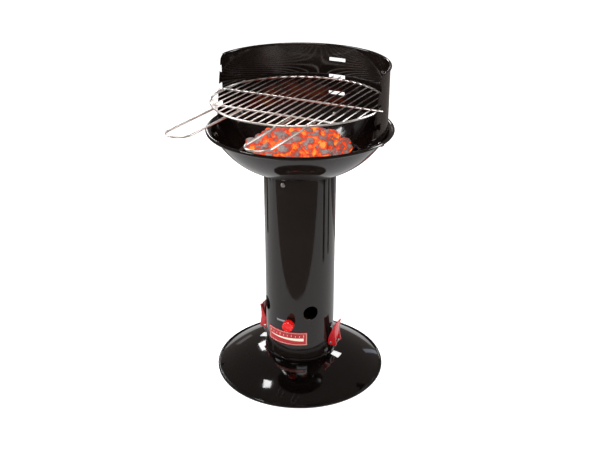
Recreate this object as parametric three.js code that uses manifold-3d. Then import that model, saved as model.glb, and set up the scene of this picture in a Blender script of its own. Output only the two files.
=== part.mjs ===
// Pedestal charcoal grill: a round fire bowl on a chimney column that clips onto a domed base.
// Units are millimetres, +Z is up, the front is -Y, and the origin is the column's axis on the floor.
import * as THREE from 'three';
import { mergeVertices } from 'three/addons/utils/BufferGeometryUtils.js';
import Module from 'manifold-3d';

const wasm = await Module();
wasm.setup();

// ---------------------------------------------------------------- clearances and sheet
const GAP = 0.3; // between pieces that touch
const SLIP = 0.5; // radial, between pieces that slide or turn in each other
const SHEET = 1.2; // steel sheet of the bowl, base and column
const BIG_SIDES = 40; // facets round the large turned pieces
const SMALL_SIDES = 12; // facets round wires and screws
const DEG = Math.PI / 180;

// ---------------------------------------------------------------- column
const COLUMN_RADIUS = 87.2;
const COLUMN_BOTTOM = 60;
const COLUMN_LENGTH = 484;
const COLUMN_TOP = COLUMN_BOTTOM + COLUMN_LENGTH;
const COLUMN_BORE = COLUMN_RADIUS - SHEET;
const AIR_HOLE_RADIUS = 19;
const AIR_HOLE_HEIGHT = COLUMN_BOTTOM + 131;
const AIR_HOLE_ANGLES = [45, 135, 225, 315];

// ---------------------------------------------------------------- domed base and its ash pan
const BASE_RADIUS = 216;
const BASE_BEAD = 4;
const BASE_CROWN_DROP = 8; // the dome meets the collar this far under the column
const COLLAR_STEP = 2.8; // the collar stands out this far round the column
const SPIGOT_LENGTH = 20; // the base reaches this far up inside the column
const COLLAR_RADIUS = COLUMN_RADIUS + COLLAR_STEP;
const SPIGOT_RADIUS = COLUMN_BORE - SLIP - SHEET / 2;
const PAN_WALL_INSET = 9;
const PAN_FLOOR_INSET = 13.3; // from the pan's wall

// ---------------------------------------------------------------- damper
const DAMPER_HEIGHT = 60;
const DAMPER_WALL = 1;
const DAMPER_RADIUS = COLUMN_BORE - SLIP;
const KNOB_REST_ANGLE = 10.4; // from the front, towards +X
const KNOB_TRAVEL_ANGLE = 14.7; // the stem's reach each way from the front
const KNOB_DROP = 27; // below the air holes' centres
const KNOB_RADIUS = 14.5;
const KNOB_DEPTH = 19;
const KNOB_RIBS = 12;
const STEM_RADIUS = 3;
const STEM_CLEARANCE = 0.6;
const SCALE_ANGLES = [-34, 39];
const SCALE_HEIGHT = 37;
const SCALE_BOTTOM = COLUMN_BOTTOM + 40;
const SCALE_THICKNESS = 1;

// ---------------------------------------------------------------- latches
const LEVER_WIDTH = 30;
const LEVER_PLATE = 3;
const LEVER_LENGTH = 61; // above its pivot
const PIVOT_OUT = 8.3; // outside the column's wall
const PIVOT_RISE = 29; // above the column's foot
const PIN_RADIUS = 2;
const BAIL_REACH = 11; // from the lever's pivot to the bail's
const BAIL_WIRE = 2;
const CHEEK_PLAY = 1.5; // between the lever's cheeks and its bracket
const BRACKET_LENGTH = 51;
const EAR_PLATE = 2;
const CHEEK_OUTER = LEVER_WIDTH / 2;
const CHEEK_INNER = CHEEK_OUTER - LEVER_PLATE;
const BRACKET_HALF_WIDTH = CHEEK_INNER - CHEEK_PLAY;
const EAR_INNER = BRACKET_HALF_WIDTH - EAR_PLATE;
const BAIL_HALF_WIDTH = CHEEK_INNER - BAIL_WIRE * 2;
const HOOK_HALF_WIDTH = BAIL_HALF_WIDTH - BAIL_WIRE - 1.2;
const HOOK_SHEET = 1.6;
const HOOK_HOLE = 22;

// ---------------------------------------------------------------- cooking grid
const GRID_RADIUS = 200; // to the ring's centre line
const RING_WIRE = 2.5;
const ROD_WIRE = 1.5;
const ROD_PITCH = 19.5;
const ROD_MARGIN = 12; // the least distance from the last rod to the ring's side
const WELD = 1.2; // depth that crossing wires are welded into each other
const GRID_FORWARD = 12; // the grid's centre stands this far in front of the column's axis
const GRID_ABOVE_RIM = 74;
const LEVEL_PITCH = 42.6;
const BAR_OVERHANG = 11; // the middle bar's ends beyond the ring
const HANDLE_WIDTH = 58;
const HANDLE_INSETS = [43, 82]; // from the front bar's ends to the handles' middles
const HANDLE_REACH = 141; // in front of the ring
const FRONT_BAR_SETBACK = 76; // behind the ring's front
const FRONT_BAR = GRID_FORWARD + GRID_RADIUS - FRONT_BAR_SETBACK; // in front of the column's axis
const HANDLE_TIP = GRID_FORWARD + GRID_RADIUS + HANDLE_REACH;
const LIFT_ANGLE = 40; // the grid leaves its notches forwards and up at this slope

// ---------------------------------------------------------------- windscreen
const SCREEN_WALL = 0.9;
const SCREEN_CLEARANCE = 2.5; // between the ring and the screen
const SCREEN_HEIGHT = 156;
const SCREEN_BEAD = 3;
const SCREEN_BORE = GRID_RADIUS + RING_WIRE + SCREEN_CLEARANCE;
const SCREEN_RADIUS = SCREEN_BORE + SCREEN_WALL;
const EDGE_TOP = -10; // y of the screen's front edges at the top
const EDGE_BOTTOM = -46;
const EDGE_ROUND = 13;
const LIP_RISE = 2.5;
const MOUTH_RISE = 14.5;
const REAR_SLOT = [44, 8.5];

// ---------------------------------------------------------------- bowl
const BOWL_DEPTH = 98; // from the top of the wall down to the column
const BOWL_WALL_RADIUS = SCREEN_RADIUS + GAP + SHEET;
const BOWL_RIM_WIDTH = 10.6;
const BOWL_BEAD = 4;
const NECK_LENGTH = 27;
const COLLAR_FLANGE = 13;
const NECK_RADIUS = COLUMN_BORE - SLIP - SHEET / 2;
const BOWL_FLOOR = COLUMN_TOP + 1.2;
const BOWL_TOP = BOWL_FLOOR + BOWL_DEPTH;
const RIM_HEIGHT = BOWL_TOP + 8;
const GRID_LEVEL = BOWL_TOP + GRID_ABOVE_RIM;

// ---------------------------------------------------------------- charcoal grate and fire
const GRATE_INSET = 59.4; // inside the bowl's wall
const GRATE_RADIUS = BOWL_WALL_RADIUS - GRATE_INSET;
const GRATE_WIRE = 2.5;
const GRATE_ROD = 2;
const GRATE_PITCH = 18;
const GRATE_MARGIN = 10; // the least distance from the last rod to the ring's side
const COAL_INSET = 15; // inside the grate's ring
const COAL_RADIUS = GRATE_RADIUS - COAL_INSET;
const COAL_EDGE = 20;
const COAL_CROWN = 47;

// ---------------------------------------------------------------- screws
const SCREW_RADIUS = 3;
const SCREW_HEAD = 5.5;
const SCREW_HEAD_HEIGHT = 3.6;
const NUT_RADIUS = 5.8;
const NUT_HEIGHT = 4.5;
const HOLE_PLAY = 0.4;
const COLUMN_SCREW_DROP = 13; // below the column's top
const RIVET_RADIUS = 1.6;
const RIVET_HEAD = 3;

// ---------------------------------------------------------------- materials
const paint = (color, roughness, metalness) => () =>
  new THREE.MeshStandardMaterial({ color, roughness, metalness });
const blackEnamel = paint(0x15110f, 0.12, 0.0);
const chromeWire = paint(0xd9d6d2, 0.2, 1.0);
const zincSteel = paint(0xb4b6b8, 0.35, 1.0);
const redPlastic = paint(0xc4101c, 0.3, 0.0);
const redPlate = paint(0xb81822, 0.35, 0.0);
const glowingCoal = paint(0xff5a1e, 0.9, 0.0);

// ---------------------------------------------------------------- solids
function solid(geometry) {
  const bare = geometry.clone();
  bare.deleteAttribute('normal');
  bare.deleteAttribute('uv');
  const merged = mergeVertices(bare, 1e-4);
  const position = merged.attributes.position;
  const index = merged.index.array;
  const corner = (i) => new THREE.Vector3().fromBufferAttribute(position, i);
  const triangles = [];
  let volume = 0;
  for (let i = 0; i < index.length; i += 3) {
    const [a, b, c] = index.slice(i, i + 3);
    if (a !== b && b !== c && c !== a) {
      triangles.push([a, b, c]);
      volume += corner(a).dot(corner(b).cross(corner(c)));
    }
  }
  const outward = volume > 0 ? triangles : triangles.map(([a, b, c]) => [a, c, b]);
  return new wasm.Manifold(
    new wasm.Mesh({
      numProp: 3,
      vertProperties: Float32Array.from(position.array),
      triVerts: Uint32Array.from(outward.flat()),
    }),
  );
}

const joined = (pieces) => pieces.reduce((whole, piece) => whole.add(piece));
const without = (body, cutters) => cutters.reduce((rest, cutter) => rest.subtract(cutter), body);

function mesh(name, body, material) {
  const { vertProperties, triVerts, numProp } = body.getMesh();
  const geometry = new THREE.BufferGeometry();
  const points = new Float32Array((vertProperties.length / numProp) * 3);
  for (let i = 0; i < points.length / 3; i += 1) {
    points.set(vertProperties.subarray(i * numProp, i * numProp + 3), i * 3);
  }
  geometry.setAttribute('position', new THREE.BufferAttribute(points, 3));
  geometry.setIndex(new THREE.BufferAttribute(Uint32Array.from(triVerts), 1));
  geometry.computeVertexNormals();
  const result = new THREE.Mesh(geometry, material());
  result.name = name;
  return result;
}

// ---------------------------------------------------------------- shapes
const v2 = (x, y) => new THREE.Vector2(x, y);
const v3 = (x, y, z) => new THREE.Vector3(x, y, z);

// A closed outline of even thickness round a line of points.
function sheetOutline(line, thickness) {
  const sides = line.map((point, i) => {
    const before = line[Math.max(i - 1, 0)];
    const after = line[Math.min(i + 1, line.length - 1)];
    const arriving = point.clone().sub(before).normalize();
    const leaving = after.clone().sub(point).normalize();
    const along = arriving.clone().add(leaving).normalize();
    const turn = Math.max(along.dot(i === 0 ? leaving : arriving), 0.5);
    const out = v2(-along.y, along.x).multiplyScalar(thickness / 2 / turn);
    return [point.clone().add(out), point.clone().sub(out)];
  });
  return [...sides.map((pair) => pair[0]), ...sides.map((pair) => pair[1]).reverse()];
}

// A ring or disc turned about +Z from an outline of (radius, height) points.
function turned(outline, sides = BIG_SIDES) {
  const geometry = new THREE.LatheGeometry([...outline, outline[0]], sides);
  return solid(geometry.rotateX(Math.PI / 2));
}

function bead(radius, height, wire, sides = BIG_SIDES) {
  return solid(new THREE.TorusGeometry(radius, wire, 6, sides).translate(0, 0, height));
}

function rod(from, to, radius, sides = 6) {
  const along = to.clone().sub(from);
  const geometry = new THREE.CylinderGeometry(radius, radius, along.length(), sides);
  const turn = new THREE.Quaternion().setFromUnitVectors(v3(0, 1, 0), along.clone().normalize());
  const middle = from.clone().add(to).multiplyScalar(0.5);
  return solid(geometry.applyQuaternion(turn).translate(...middle.toArray()));
}

// An outline of (x, z) points, pushed from y = low to y = high.
function slab(outline, low, high) {
  const shape = Array.isArray(outline) ? new THREE.Shape(outline) : outline;
  const options = { depth: high - low, bevelEnabled: false, curveSegments: 8 };
  const geometry = new THREE.ExtrudeGeometry(shape, options).rotateX(Math.PI / 2);
  return solid(geometry.translate(0, high, 0));
}

// How far a faceted round wall comes in behind a flat piece of the given half width.
function wallDip(radius, halfWidth) {
  return radius * (1 - Math.cos(Math.PI / BIG_SIDES + Math.asin(halfWidth / radius)));
}

// A piece of a round wall between two angles from the front, towards +X.
function arcWall(inner, outer, angles, low, high) {
  const [from, to] = angles.map((angle) => (angle - 90) * DEG);
  const shape = new THREE.Shape();
  shape.absarc(0, 0, outer, from, to, false);
  shape.absarc(0, 0, inner, to, from, true);
  const steps = Math.ceil(Math.abs(angles[1] - angles[0]) / (360 / BIG_SIDES));
  const options = { depth: high - low, bevelEnabled: false, curveSegments: steps };
  return solid(new THREE.ExtrudeGeometry(shape, options).translate(0, 0, low));
}

// Turns a piece made along +Z at the origin to face outwards at an angle from the front.
function outward(angle, height, radius = 0) {
  const out = v3(Math.sin(angle * DEG), -Math.cos(angle * DEG), 0);
  const across = v3(Math.cos(angle * DEG), Math.sin(angle * DEG), 0);
  const matrix = new THREE.Matrix4().makeBasis(across, v3(0, 0, 1), out);
  return matrix.setPosition(out.multiplyScalar(radius).setZ(height));
}

function radialHole(angle, height, radius, inner, outer, sides = 24) {
  const geometry = new THREE.CylinderGeometry(radius, radius, outer - inner, sides);
  geometry.rotateX(Math.PI / 2).applyMatrix4(outward(angle, height, (inner + outer) / 2));
  return solid(geometry);
}

// A bent wire: the section meets every given point once, turned halfway at each bend.
class WirePath extends THREE.Curve {
  constructor(points) {
    super();
    this.points = points;
  }

  getPoint(t, target = new THREE.Vector3()) {
    const place = t * (this.points.length - 1);
    const index = Math.min(Math.floor(place), this.points.length - 2);
    return target.lerpVectors(this.points[index], this.points[index + 1], place - index);
  }

  getTangent(t, target = new THREE.Vector3()) {
    const index = Math.round(t * (this.points.length - 1));
    const here = this.points[index];
    const arriving = here.clone().sub(this.points[Math.max(index - 1, 0)]).normalize();
    const last = this.points.length - 1;
    const leaving = this.points[Math.min(index + 1, last)].clone().sub(here).normalize();
    return target.addVectors(arriving, leaving).normalize();
  }

  getUtoTmapping(u) {
    return u;
  }
}

// Rounds the corners of a line of points.
function rounded(corners, radius, steps = 4) {
  const points = [corners[0]];
  for (let i = 1; i < corners.length - 1; i += 1) {
    const before = corners[i - 1].clone().sub(corners[i]).normalize().multiplyScalar(radius);
    const after = corners[i + 1].clone().sub(corners[i]).normalize().multiplyScalar(radius);
    const bend = new THREE.QuadraticBezierCurve3(
      corners[i].clone().add(before),
      corners[i],
      corners[i].clone().add(after),
    );
    points.push(...bend.getPoints(steps));
  }
  points.push(corners[corners.length - 1]);
  return points;
}

function wire(points, radius, sides = 8) {
  const section = new THREE.Shape();
  for (let i = 0; i < sides; i += 1) {
    const angle = (i / sides) * 2 * Math.PI;
    const corner = [radius * Math.cos(angle), radius * Math.sin(angle)];
    if (i === 0) {
      section.moveTo(...corner);
    } else {
      section.lineTo(...corner);
    }
  }
  section.closePath();
  const path = new WirePath(points);
  const options = { steps: points.length - 1, extrudePath: path, bevelEnabled: false };
  return solid(new THREE.ExtrudeGeometry(section, options));
}

// A screw or rivet turned about +Z: its head above z = 0 and its shank below.
function screwOutline(shank, head, headHeight, length) {
  return [
    v2(0, headHeight),
    v2(head * 0.55, headHeight * 0.92),
    v2(head * 0.88, headHeight * 0.6),
    v2(head, 0),
    v2(shank, 0),
    v2(shank, -length),
    v2(0, -length),
  ];
}

function screw(length) {
  return turned(screwOutline(SCREW_RADIUS, SCREW_HEAD, SCREW_HEAD_HEIGHT, length), SMALL_SIDES);
}

// A nut whose near face is at z = -offset, with the screw's clearance hole through it.
function nut(offset) {
  const hole = SCREW_RADIUS + HOLE_PLAY;
  const body = new THREE.CylinderGeometry(NUT_RADIUS, NUT_RADIUS, NUT_HEIGHT, 6);
  const bore = new THREE.CylinderGeometry(hole, hole, NUT_HEIGHT * 2, SMALL_SIDES);
  const drop = -offset - NUT_HEIGHT / 2;
  const whole = solid(body.rotateX(Math.PI / 2).translate(0, 0, drop));
  return whole.subtract(solid(bore.rotateX(Math.PI / 2).translate(0, 0, drop)));
}

function placed(name, body, material, matrix) {
  const result = mesh(name, body, material);
  result.applyMatrix4(matrix);
  return result;
}

// ---------------------------------------------------------------- base
const CROWN_HEIGHT = COLUMN_BOTTOM - BASE_CROWN_DROP;
const COLLAR_TOP = COLUMN_BOTTOM - GAP - SHEET / 2;
const SPIGOT_TOP = COLUMN_BOTTOM + SPIGOT_LENGTH;
const HOOK_OUT = COLLAR_RADIUS + 2.4;
const CATCH_OUT = HOOK_OUT + 4.8;
const CATCH_HEIGHT = COLUMN_BOTTOM + 5;

function domeLine() {
  const dome = new THREE.QuadraticBezierCurve(
    v2(COLLAR_RADIUS, CROWN_HEIGHT),
    v2((COLLAR_RADIUS + BASE_RADIUS) / 2 - 3, CROWN_HEIGHT - 7),
    v2(BASE_RADIUS - BASE_BEAD * 2, BASE_BEAD + 2),
  );
  return dome.getPoints(5);
}

function hook() {
  const arch = CATCH_HEIGHT + BAIL_WIRE + 0.6 + HOOK_SHEET / 2;
  const lip = CATCH_OUT + BAIL_WIRE + 1 + HOOK_SHEET / 2;
  const line = [
    v2(HOOK_OUT, CROWN_HEIGHT - SHEET / 2),
    v2(HOOK_OUT, arch - 1.8),
    v2(HOOK_OUT + 1.6, arch),
    v2(lip - 1.6, arch),
    v2(lip, arch - 1.2),
    v2(lip, arch - 2.2),
  ];
  return slab(sheetOutline(line, HOOK_SHEET), -HOOK_HALF_WIDTH, HOOK_HALF_WIDTH);
}

function basePlate() {
  const line = [
    v2(SPIGOT_RADIUS, SPIGOT_TOP),
    v2(SPIGOT_RADIUS, COLLAR_TOP),
    v2(COLLAR_RADIUS, COLLAR_TOP),
    ...domeLine(),
    v2(BASE_RADIUS - BASE_BEAD, BASE_BEAD),
  ];
  const plate = turned(sheetOutline(line, SHEET)).add(bead(BASE_RADIUS - BASE_BEAD, BASE_BEAD, BASE_BEAD));
  const from = HOOK_OUT + HOOK_SHEET / 2 + 0.4;
  const window = new THREE.BoxGeometry(HOOK_HOLE, HOOK_HOLE, 30);
  window.translate(from + HOOK_HOLE / 2, 0, CROWN_HEIGHT);
  const right = solid(window);
  const left = solid(window.clone().rotateZ(Math.PI));
  return joined([without(plate, [right, left]), hook(), hook().rotate([0, 0, 180])]);
}

function ashPan() {
  const wall = SPIGOT_RADIUS - SHEET / 2 - PAN_WALL_INSET;
  const rim = SPIGOT_TOP + GAP + SHEET / 2;
  const line = [
    v2(SPIGOT_RADIUS, rim),
    v2(wall, rim),
    v2(wall, 26),
    v2(wall - 2, 14),
    v2(wall - PAN_FLOOR_INSET + 3, 3),
    v2(wall - PAN_FLOOR_INSET, SHEET / 2),
    v2(0, SHEET / 2),
  ];
  const outline = sheetOutline(line, SHEET);
  outline.forEach((point) => point.setX(Math.max(point.x, 0)));
  return turned(outline);
}

// ---------------------------------------------------------------- column and damper
const SLOT_HEIGHT = AIR_HOLE_HEIGHT - KNOB_DROP;
const SLOT_HALF = STEM_RADIUS + STEM_CLEARANCE;
const SCREW_HEIGHT = COLUMN_TOP - COLUMN_SCREW_DROP;
const SCREW_ANGLES = [0, 120, 240];
const RIVET_HEIGHTS = [COLUMN_BOTTOM + PIVOT_RISE + 14, COLUMN_BOTTOM + PIVOT_RISE + 38];
const LATCH_ANGLES = { right: 90, left: 270 };

function columnTube() {
  const wall = [
    v2(COLUMN_BORE, COLUMN_BOTTOM),
    v2(COLUMN_RADIUS, COLUMN_BOTTOM),
    v2(COLUMN_RADIUS, COLUMN_TOP),
    v2(COLUMN_BORE, COLUMN_TOP),
  ];
  const low = COLUMN_BORE - 5;
  const high = COLUMN_RADIUS + 5;
  const slotAngles = [-KNOB_TRAVEL_ANGLE, KNOB_TRAVEL_ANGLE];
  const cuts = [
    arcWall(low, high, slotAngles, SLOT_HEIGHT - SLOT_HALF, SLOT_HEIGHT + SLOT_HALF),
    ...slotAngles.map((angle) => radialHole(angle, SLOT_HEIGHT, SLOT_HALF, low, high, SMALL_SIDES)),
    ...AIR_HOLE_ANGLES.map((angle) => radialHole(angle, AIR_HOLE_HEIGHT, AIR_HOLE_RADIUS, low, high)),
    ...SCREW_ANGLES.map((angle) =>
      radialHole(angle, SCREW_HEIGHT, SCREW_RADIUS + HOLE_PLAY, low, high, SMALL_SIDES),
    ),
  ];
  for (const angle of Object.values(LATCH_ANGLES)) {
    for (const height of RIVET_HEIGHTS) {
      cuts.push(radialHole(angle, height, RIVET_RADIUS + GAP, low, high, 8));
    }
  }
  return without(turned(wall), cuts);
}

function damperRing() {
  const low = SLOT_HEIGHT - SLOT_HALF - 5;
  const high = low + DAMPER_HEIGHT;
  const inner = DAMPER_RADIUS - DAMPER_WALL;
  const wall = [v2(inner, low), v2(DAMPER_RADIUS, low), v2(DAMPER_RADIUS, high), v2(inner, high)];
  const reach = Math.asin(AIR_HOLE_RADIUS / COLUMN_RADIUS) / DEG;
  const windows = AIR_HOLE_ANGLES.map((angle) =>
    arcWall(
      inner - 4,
      DAMPER_RADIUS + 4,
      [angle - reach - 5, angle + reach],
      AIR_HOLE_HEIGHT - AIR_HOLE_RADIUS - 0.5,
      AIR_HOLE_HEIGHT + AIR_HOLE_RADIUS + 0.5,
    ),
  );
  const stem = radialHole(
    KNOB_REST_ANGLE,
    SLOT_HEIGHT,
    STEM_RADIUS + GAP,
    inner - 4,
    DAMPER_RADIUS + 4,
    12,
  );
  return without(turned(wall), [...windows, stem]);
}

const KNOB_FACE = 6; // the knob's back stands this far off the column
const STEM_HEAD = 5;
const DAMPER_BORE = DAMPER_RADIUS - DAMPER_WALL;
const STEM_SEAT = DAMPER_BORE - wallDip(DAMPER_BORE, STEM_HEAD) - GAP;

function damperKnob() {
  const shape = new THREE.Shape();
  const corners = KNOB_RIBS * 3;
  for (let i = 0; i < corners; i += 1) {
    const angle = (i / corners) * 2 * Math.PI;
    const radius = KNOB_RADIUS - 1.2 - 1.1 * (1 - Math.cos(angle * KNOB_RIBS)) / 2;
    const corner = [radius * Math.cos(angle), radius * Math.sin(angle)];
    if (i === 0) {
      shape.moveTo(...corner);
    } else {
      shape.lineTo(...corner);
    }
  }
  shape.closePath();
  const options = {
    depth: KNOB_DEPTH - 3,
    bevelThickness: 1.5,
    bevelSize: 1.2,
    bevelSegments: 1,
  };
  const body = solid(new THREE.ExtrudeGeometry(shape, options).translate(0, 0, 1.5));
  const hole = STEM_RADIUS + GAP;
  const bore = new THREE.CylinderGeometry(hole, hole, KNOB_DEPTH, SMALL_SIDES);
  return body.subtract(solid(bore.rotateX(Math.PI / 2).translate(0, 0, KNOB_DEPTH / 2 - 5)));
}

// The knob's screw: its head is inside the damper ring and its shank ends inside the knob.
function knobScrew() {
  const length = COLUMN_RADIUS + KNOB_FACE + KNOB_DEPTH - 6 - STEM_SEAT;
  const outline = screwOutline(STEM_RADIUS, STEM_HEAD, 2.5, length);
  return turned(outline, SMALL_SIDES).rotate([180, 0, 0]);
}

function scalePlate() {
  const inner = COLUMN_RADIUS + GAP;
  const outer = inner + SCALE_THICKNESS;
  return arcWall(inner, outer, SCALE_ANGLES, SCALE_BOTTOM, SCALE_BOTTOM + SCALE_HEIGHT);
}

// ---------------------------------------------------------------- latches, drawn for the +X side
const PIVOT = v2(COLUMN_RADIUS + PIVOT_OUT, COLUMN_BOTTOM + PIVOT_RISE);
const BAIL_PIVOT = v2(PIVOT.x + BAIL_REACH, PIVOT.y);

function pinHole(centre, radius) {
  const reach = LEVER_WIDTH;
  return rod(v3(centre.x, -reach, centre.y), v3(centre.x, reach, centre.y), radius, SMALL_SIDES);
}

function leverCheek() {
  const shape = new THREE.Shape();
  const top = PIVOT.y + LEVER_LENGTH;
  shape.absarc(PIVOT.x, PIVOT.y, 8, Math.PI, Math.PI * 1.45, false);
  shape.absarc(BAIL_PIVOT.x, BAIL_PIVOT.y, 5, -Math.PI * 0.5, Math.PI * 0.1, false);
  shape.lineTo(PIVOT.x + 13.6, PIVOT.y + 12);
  shape.lineTo(PIVOT.x + 12, PIVOT.y + 24);
  shape.lineTo(PIVOT.x + 11.8, PIVOT.y + LEVER_LENGTH * 0.6);
  shape.lineTo(PIVOT.x + 13, PIVOT.y + LEVER_LENGTH * 0.82);
  shape.lineTo(PIVOT.x + 15, top - 2);
  shape.lineTo(PIVOT.x + 13.6, top);
  shape.lineTo(PIVOT.x + 11.6, top - 1);
  shape.lineTo(PIVOT.x + 7.5, PIVOT.y + LEVER_LENGTH * 0.8);
  shape.lineTo(PIVOT.x + 1, PIVOT.y + LEVER_LENGTH * 0.55);
  shape.lineTo(PIVOT.x - 5, PIVOT.y + LEVER_LENGTH * 0.33);
  shape.lineTo(PIVOT.x - 7.6, PIVOT.y + LEVER_LENGTH * 0.12);
  shape.closePath();
  return shape;
}

function leverWeb() {
  const line = [
    v2(PIVOT.x + 6.6, PIVOT.y - 1.5),
    v2(PIVOT.x + 8.2, PIVOT.y + 5),
    v2(PIVOT.x + 10, PIVOT.y + 15),
    v2(PIVOT.x + 10.3, PIVOT.y + LEVER_LENGTH * 0.6),
    v2(PIVOT.x + 11.6, PIVOT.y + LEVER_LENGTH * 0.82),
    v2(PIVOT.x + 13.2, PIVOT.y + LEVER_LENGTH - 1.6),
  ];
  return slab(sheetOutline(line, 2.4), -CHEEK_INNER - 1, CHEEK_INNER + 1);
}

function latchLever() {
  const cheeks = [
    slab(leverCheek(), CHEEK_INNER, CHEEK_OUTER),
    slab(leverCheek(), -CHEEK_OUTER, -CHEEK_INNER),
  ];
  const holes = [pinHole(PIVOT, PIN_RADIUS + GAP), pinHole(BAIL_PIVOT, BAIL_WIRE + GAP)];
  return without(joined([...cheeks, leverWeb()]), holes);
}

function latchBracket() {
  const back = COLUMN_RADIUS + GAP;
  const face = COLUMN_RADIUS + GAP + 2;
  const foot = PIVOT.y - 5;
  const top = foot + BRACKET_LENGTH;
  const outline = [v2(back - 4, foot), v2(face, foot), v2(face, top), v2(back - 4, top)];
  const plate = slab(outline, -BRACKET_HALF_WIDTH, BRACKET_HALF_WIDTH);
  const ear = new THREE.Shape();
  ear.moveTo(face - 1, foot);
  ear.absarc(PIVOT.x, PIVOT.y, 4.8, -Math.PI * 0.5, Math.PI * 0.35, false);
  ear.lineTo(face - 1, PIVOT.y + 16);
  ear.closePath();
  const ears = [slab(ear, EAR_INNER, BRACKET_HALF_WIDTH), slab(ear, -BRACKET_HALF_WIDTH, -EAR_INNER)];
  const column = turned([v2(0, foot - 5), v2(back, foot - 5), v2(back, top + 5), v2(0, top + 5)]);
  const rivets = RIVET_HEIGHTS.map((height) =>
    radialHole(LATCH_ANGLES.right, height, RIVET_RADIUS + GAP, back - 5, face + 5, 8),
  );
  return without(joined([plate, ...ears]), [column, pinHole(PIVOT, PIN_RADIUS + GAP), ...rivets]);
}

function latchPin() {
  const end = CHEEK_OUTER + GAP;
  const outline = [
    v2(0, -end - 1.6),
    v2(3.4, -end - 1.6),
    v2(3.4, -end),
    v2(PIN_RADIUS, -end),
    v2(PIN_RADIUS, end),
    v2(3.4, end),
    v2(3.4, end + 1.6),
    v2(0, end + 1.6),
  ];
  return turned(outline, SMALL_SIDES).rotate([90, 0, 0]).translate([PIVOT.x, 0, PIVOT.y]);
}

function latchBail() {
  const end = CHEEK_OUTER - 1.2;
  const half = BAIL_HALF_WIDTH;
  const corners = [
    v3(BAIL_PIVOT.x, -end, BAIL_PIVOT.y),
    v3(BAIL_PIVOT.x, -half, BAIL_PIVOT.y),
    v3(CATCH_OUT, -half, CATCH_HEIGHT),
    v3(CATCH_OUT, half, CATCH_HEIGHT),
    v3(BAIL_PIVOT.x, half, BAIL_PIVOT.y),
    v3(BAIL_PIVOT.x, end, BAIL_PIVOT.y),
  ];
  return wire(rounded(corners, 2.8), BAIL_WIRE);
}

function latchRivet() {
  const outer = COLUMN_RADIUS + GAP + 2 + GAP;
  const outline = screwOutline(RIVET_RADIUS, RIVET_HEAD, 1.6, outer - COLUMN_BORE + 1.6);
  return turned(outline, 8);
}

function latch(side) {
  const group = new THREE.Group();
  group.rotation.z = side === 'right' ? 0 : Math.PI;
  group.add(mesh(`latch_bracket_${side}`, latchBracket(), blackEnamel));
  group.add(mesh(`latch_pin_${side}`, latchPin(), zincSteel));
  group.add(mesh(`latch_lever_${side}`, latchLever(), redPlastic));
  group.add(mesh(`latch_bail_${side}`, latchBail(), chromeWire));
  RIVET_HEIGHTS.forEach((height, i) => {
    const matrix = outward(LATCH_ANGLES.right, height, COLUMN_RADIUS + GAP + 2 + GAP);
    group.add(placed(`latch_rivet_${side}_${i + 1}`, latchRivet(), zincSteel, matrix));
  });
  return group;
}

// ---------------------------------------------------------------- bowl
const BOWL_STEPS = 7;
const BOWL_LINE = new THREE.QuadraticBezierCurve(
  v2(BOWL_WALL_RADIUS - SHEET / 2, BOWL_TOP),
  v2(NECK_RADIUS + (BOWL_WALL_RADIUS - NECK_RADIUS) * 0.61, BOWL_FLOOR + 16),
  v2(NECK_RADIUS, BOWL_FLOOR),
).getPoints(BOWL_STEPS);
const SCREEN_SCREW_PLACE = 0.12; // along the bowl's line, from its top
const SCREEN_SCREW_ANGLES = { right: 100, rear: 180, left: 260 };
const TAB_HALF_WIDTH = 12;
const TAB_LENGTH = 30;

// A point along the bowl's line from its top, 0, to its neck, 1, and offset into the bowl.
function bowlPoint(place, offset) {
  const step = Math.min(Math.floor(place * BOWL_STEPS), BOWL_STEPS - 1);
  const along = BOWL_LINE[step + 1].clone().sub(BOWL_LINE[step]);
  const point = BOWL_LINE[step].clone().add(along.clone().multiplyScalar(place * BOWL_STEPS - step));
  along.normalize();
  return point.add(v2(along.y, -along.x).multiplyScalar(offset));
}

// The height at which a ring of the given radius rests on the bowl, offset from its sheet's middle.
function restingHeight(radius, offset) {
  let low = 0;
  let high = 1;
  for (let i = 0; i < 40; i += 1) {
    const middle = (low + high) / 2;
    if (bowlPoint(middle, offset).x > radius) {
      low = middle;
    } else {
      high = middle;
    }
  }
  return bowlPoint(low, offset).y;
}

// Faces into the bowl, square to its sheet, at an angle from the front.
function onBowl(angle, offset) {
  const point = bowlPoint(SCREEN_SCREW_PLACE, offset);
  const normal = point.clone().sub(bowlPoint(SCREEN_SCREW_PLACE, offset - 1));
  const out = v3(Math.sin(angle * DEG), -Math.cos(angle * DEG), 0);
  const side = v3(Math.cos(angle * DEG), Math.sin(angle * DEG), 0);
  const face = out.clone().multiplyScalar(normal.x).setZ(normal.y);
  const matrix = new THREE.Matrix4().makeBasis(side, face.clone().cross(side), face);
  return matrix.setPosition(out.multiplyScalar(point.x).setZ(point.y));
}

function placedSolid(body, matrix) {
  return body.transform(matrix.toArray());
}

function screenHoles() {
  const radius = SCREW_RADIUS + HOLE_PLAY;
  return Object.values(SCREEN_SCREW_ANGLES).map((angle) => {
    const hole = new THREE.CylinderGeometry(radius, radius, 24, SMALL_SIDES).rotateX(Math.PI / 2);
    return placedSolid(solid(hole), onBowl(angle, 0));
  });
}

function bowl() {
  const rimRadius = BOWL_WALL_RADIUS + BOWL_RIM_WIDTH;
  const line = [
    v2(rimRadius, RIM_HEIGHT - BOWL_BEAD),
    v2(BOWL_WALL_RADIUS + 2, BOWL_TOP + 2.2),
    ...BOWL_LINE,
    v2(NECK_RADIUS - COLLAR_FLANGE, BOWL_FLOOR),
  ];
  const rim = bead(rimRadius, RIM_HEIGHT - BOWL_BEAD, BOWL_BEAD);
  return without(turned(sheetOutline(line, SHEET)).add(rim), screenHoles());
}

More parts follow.
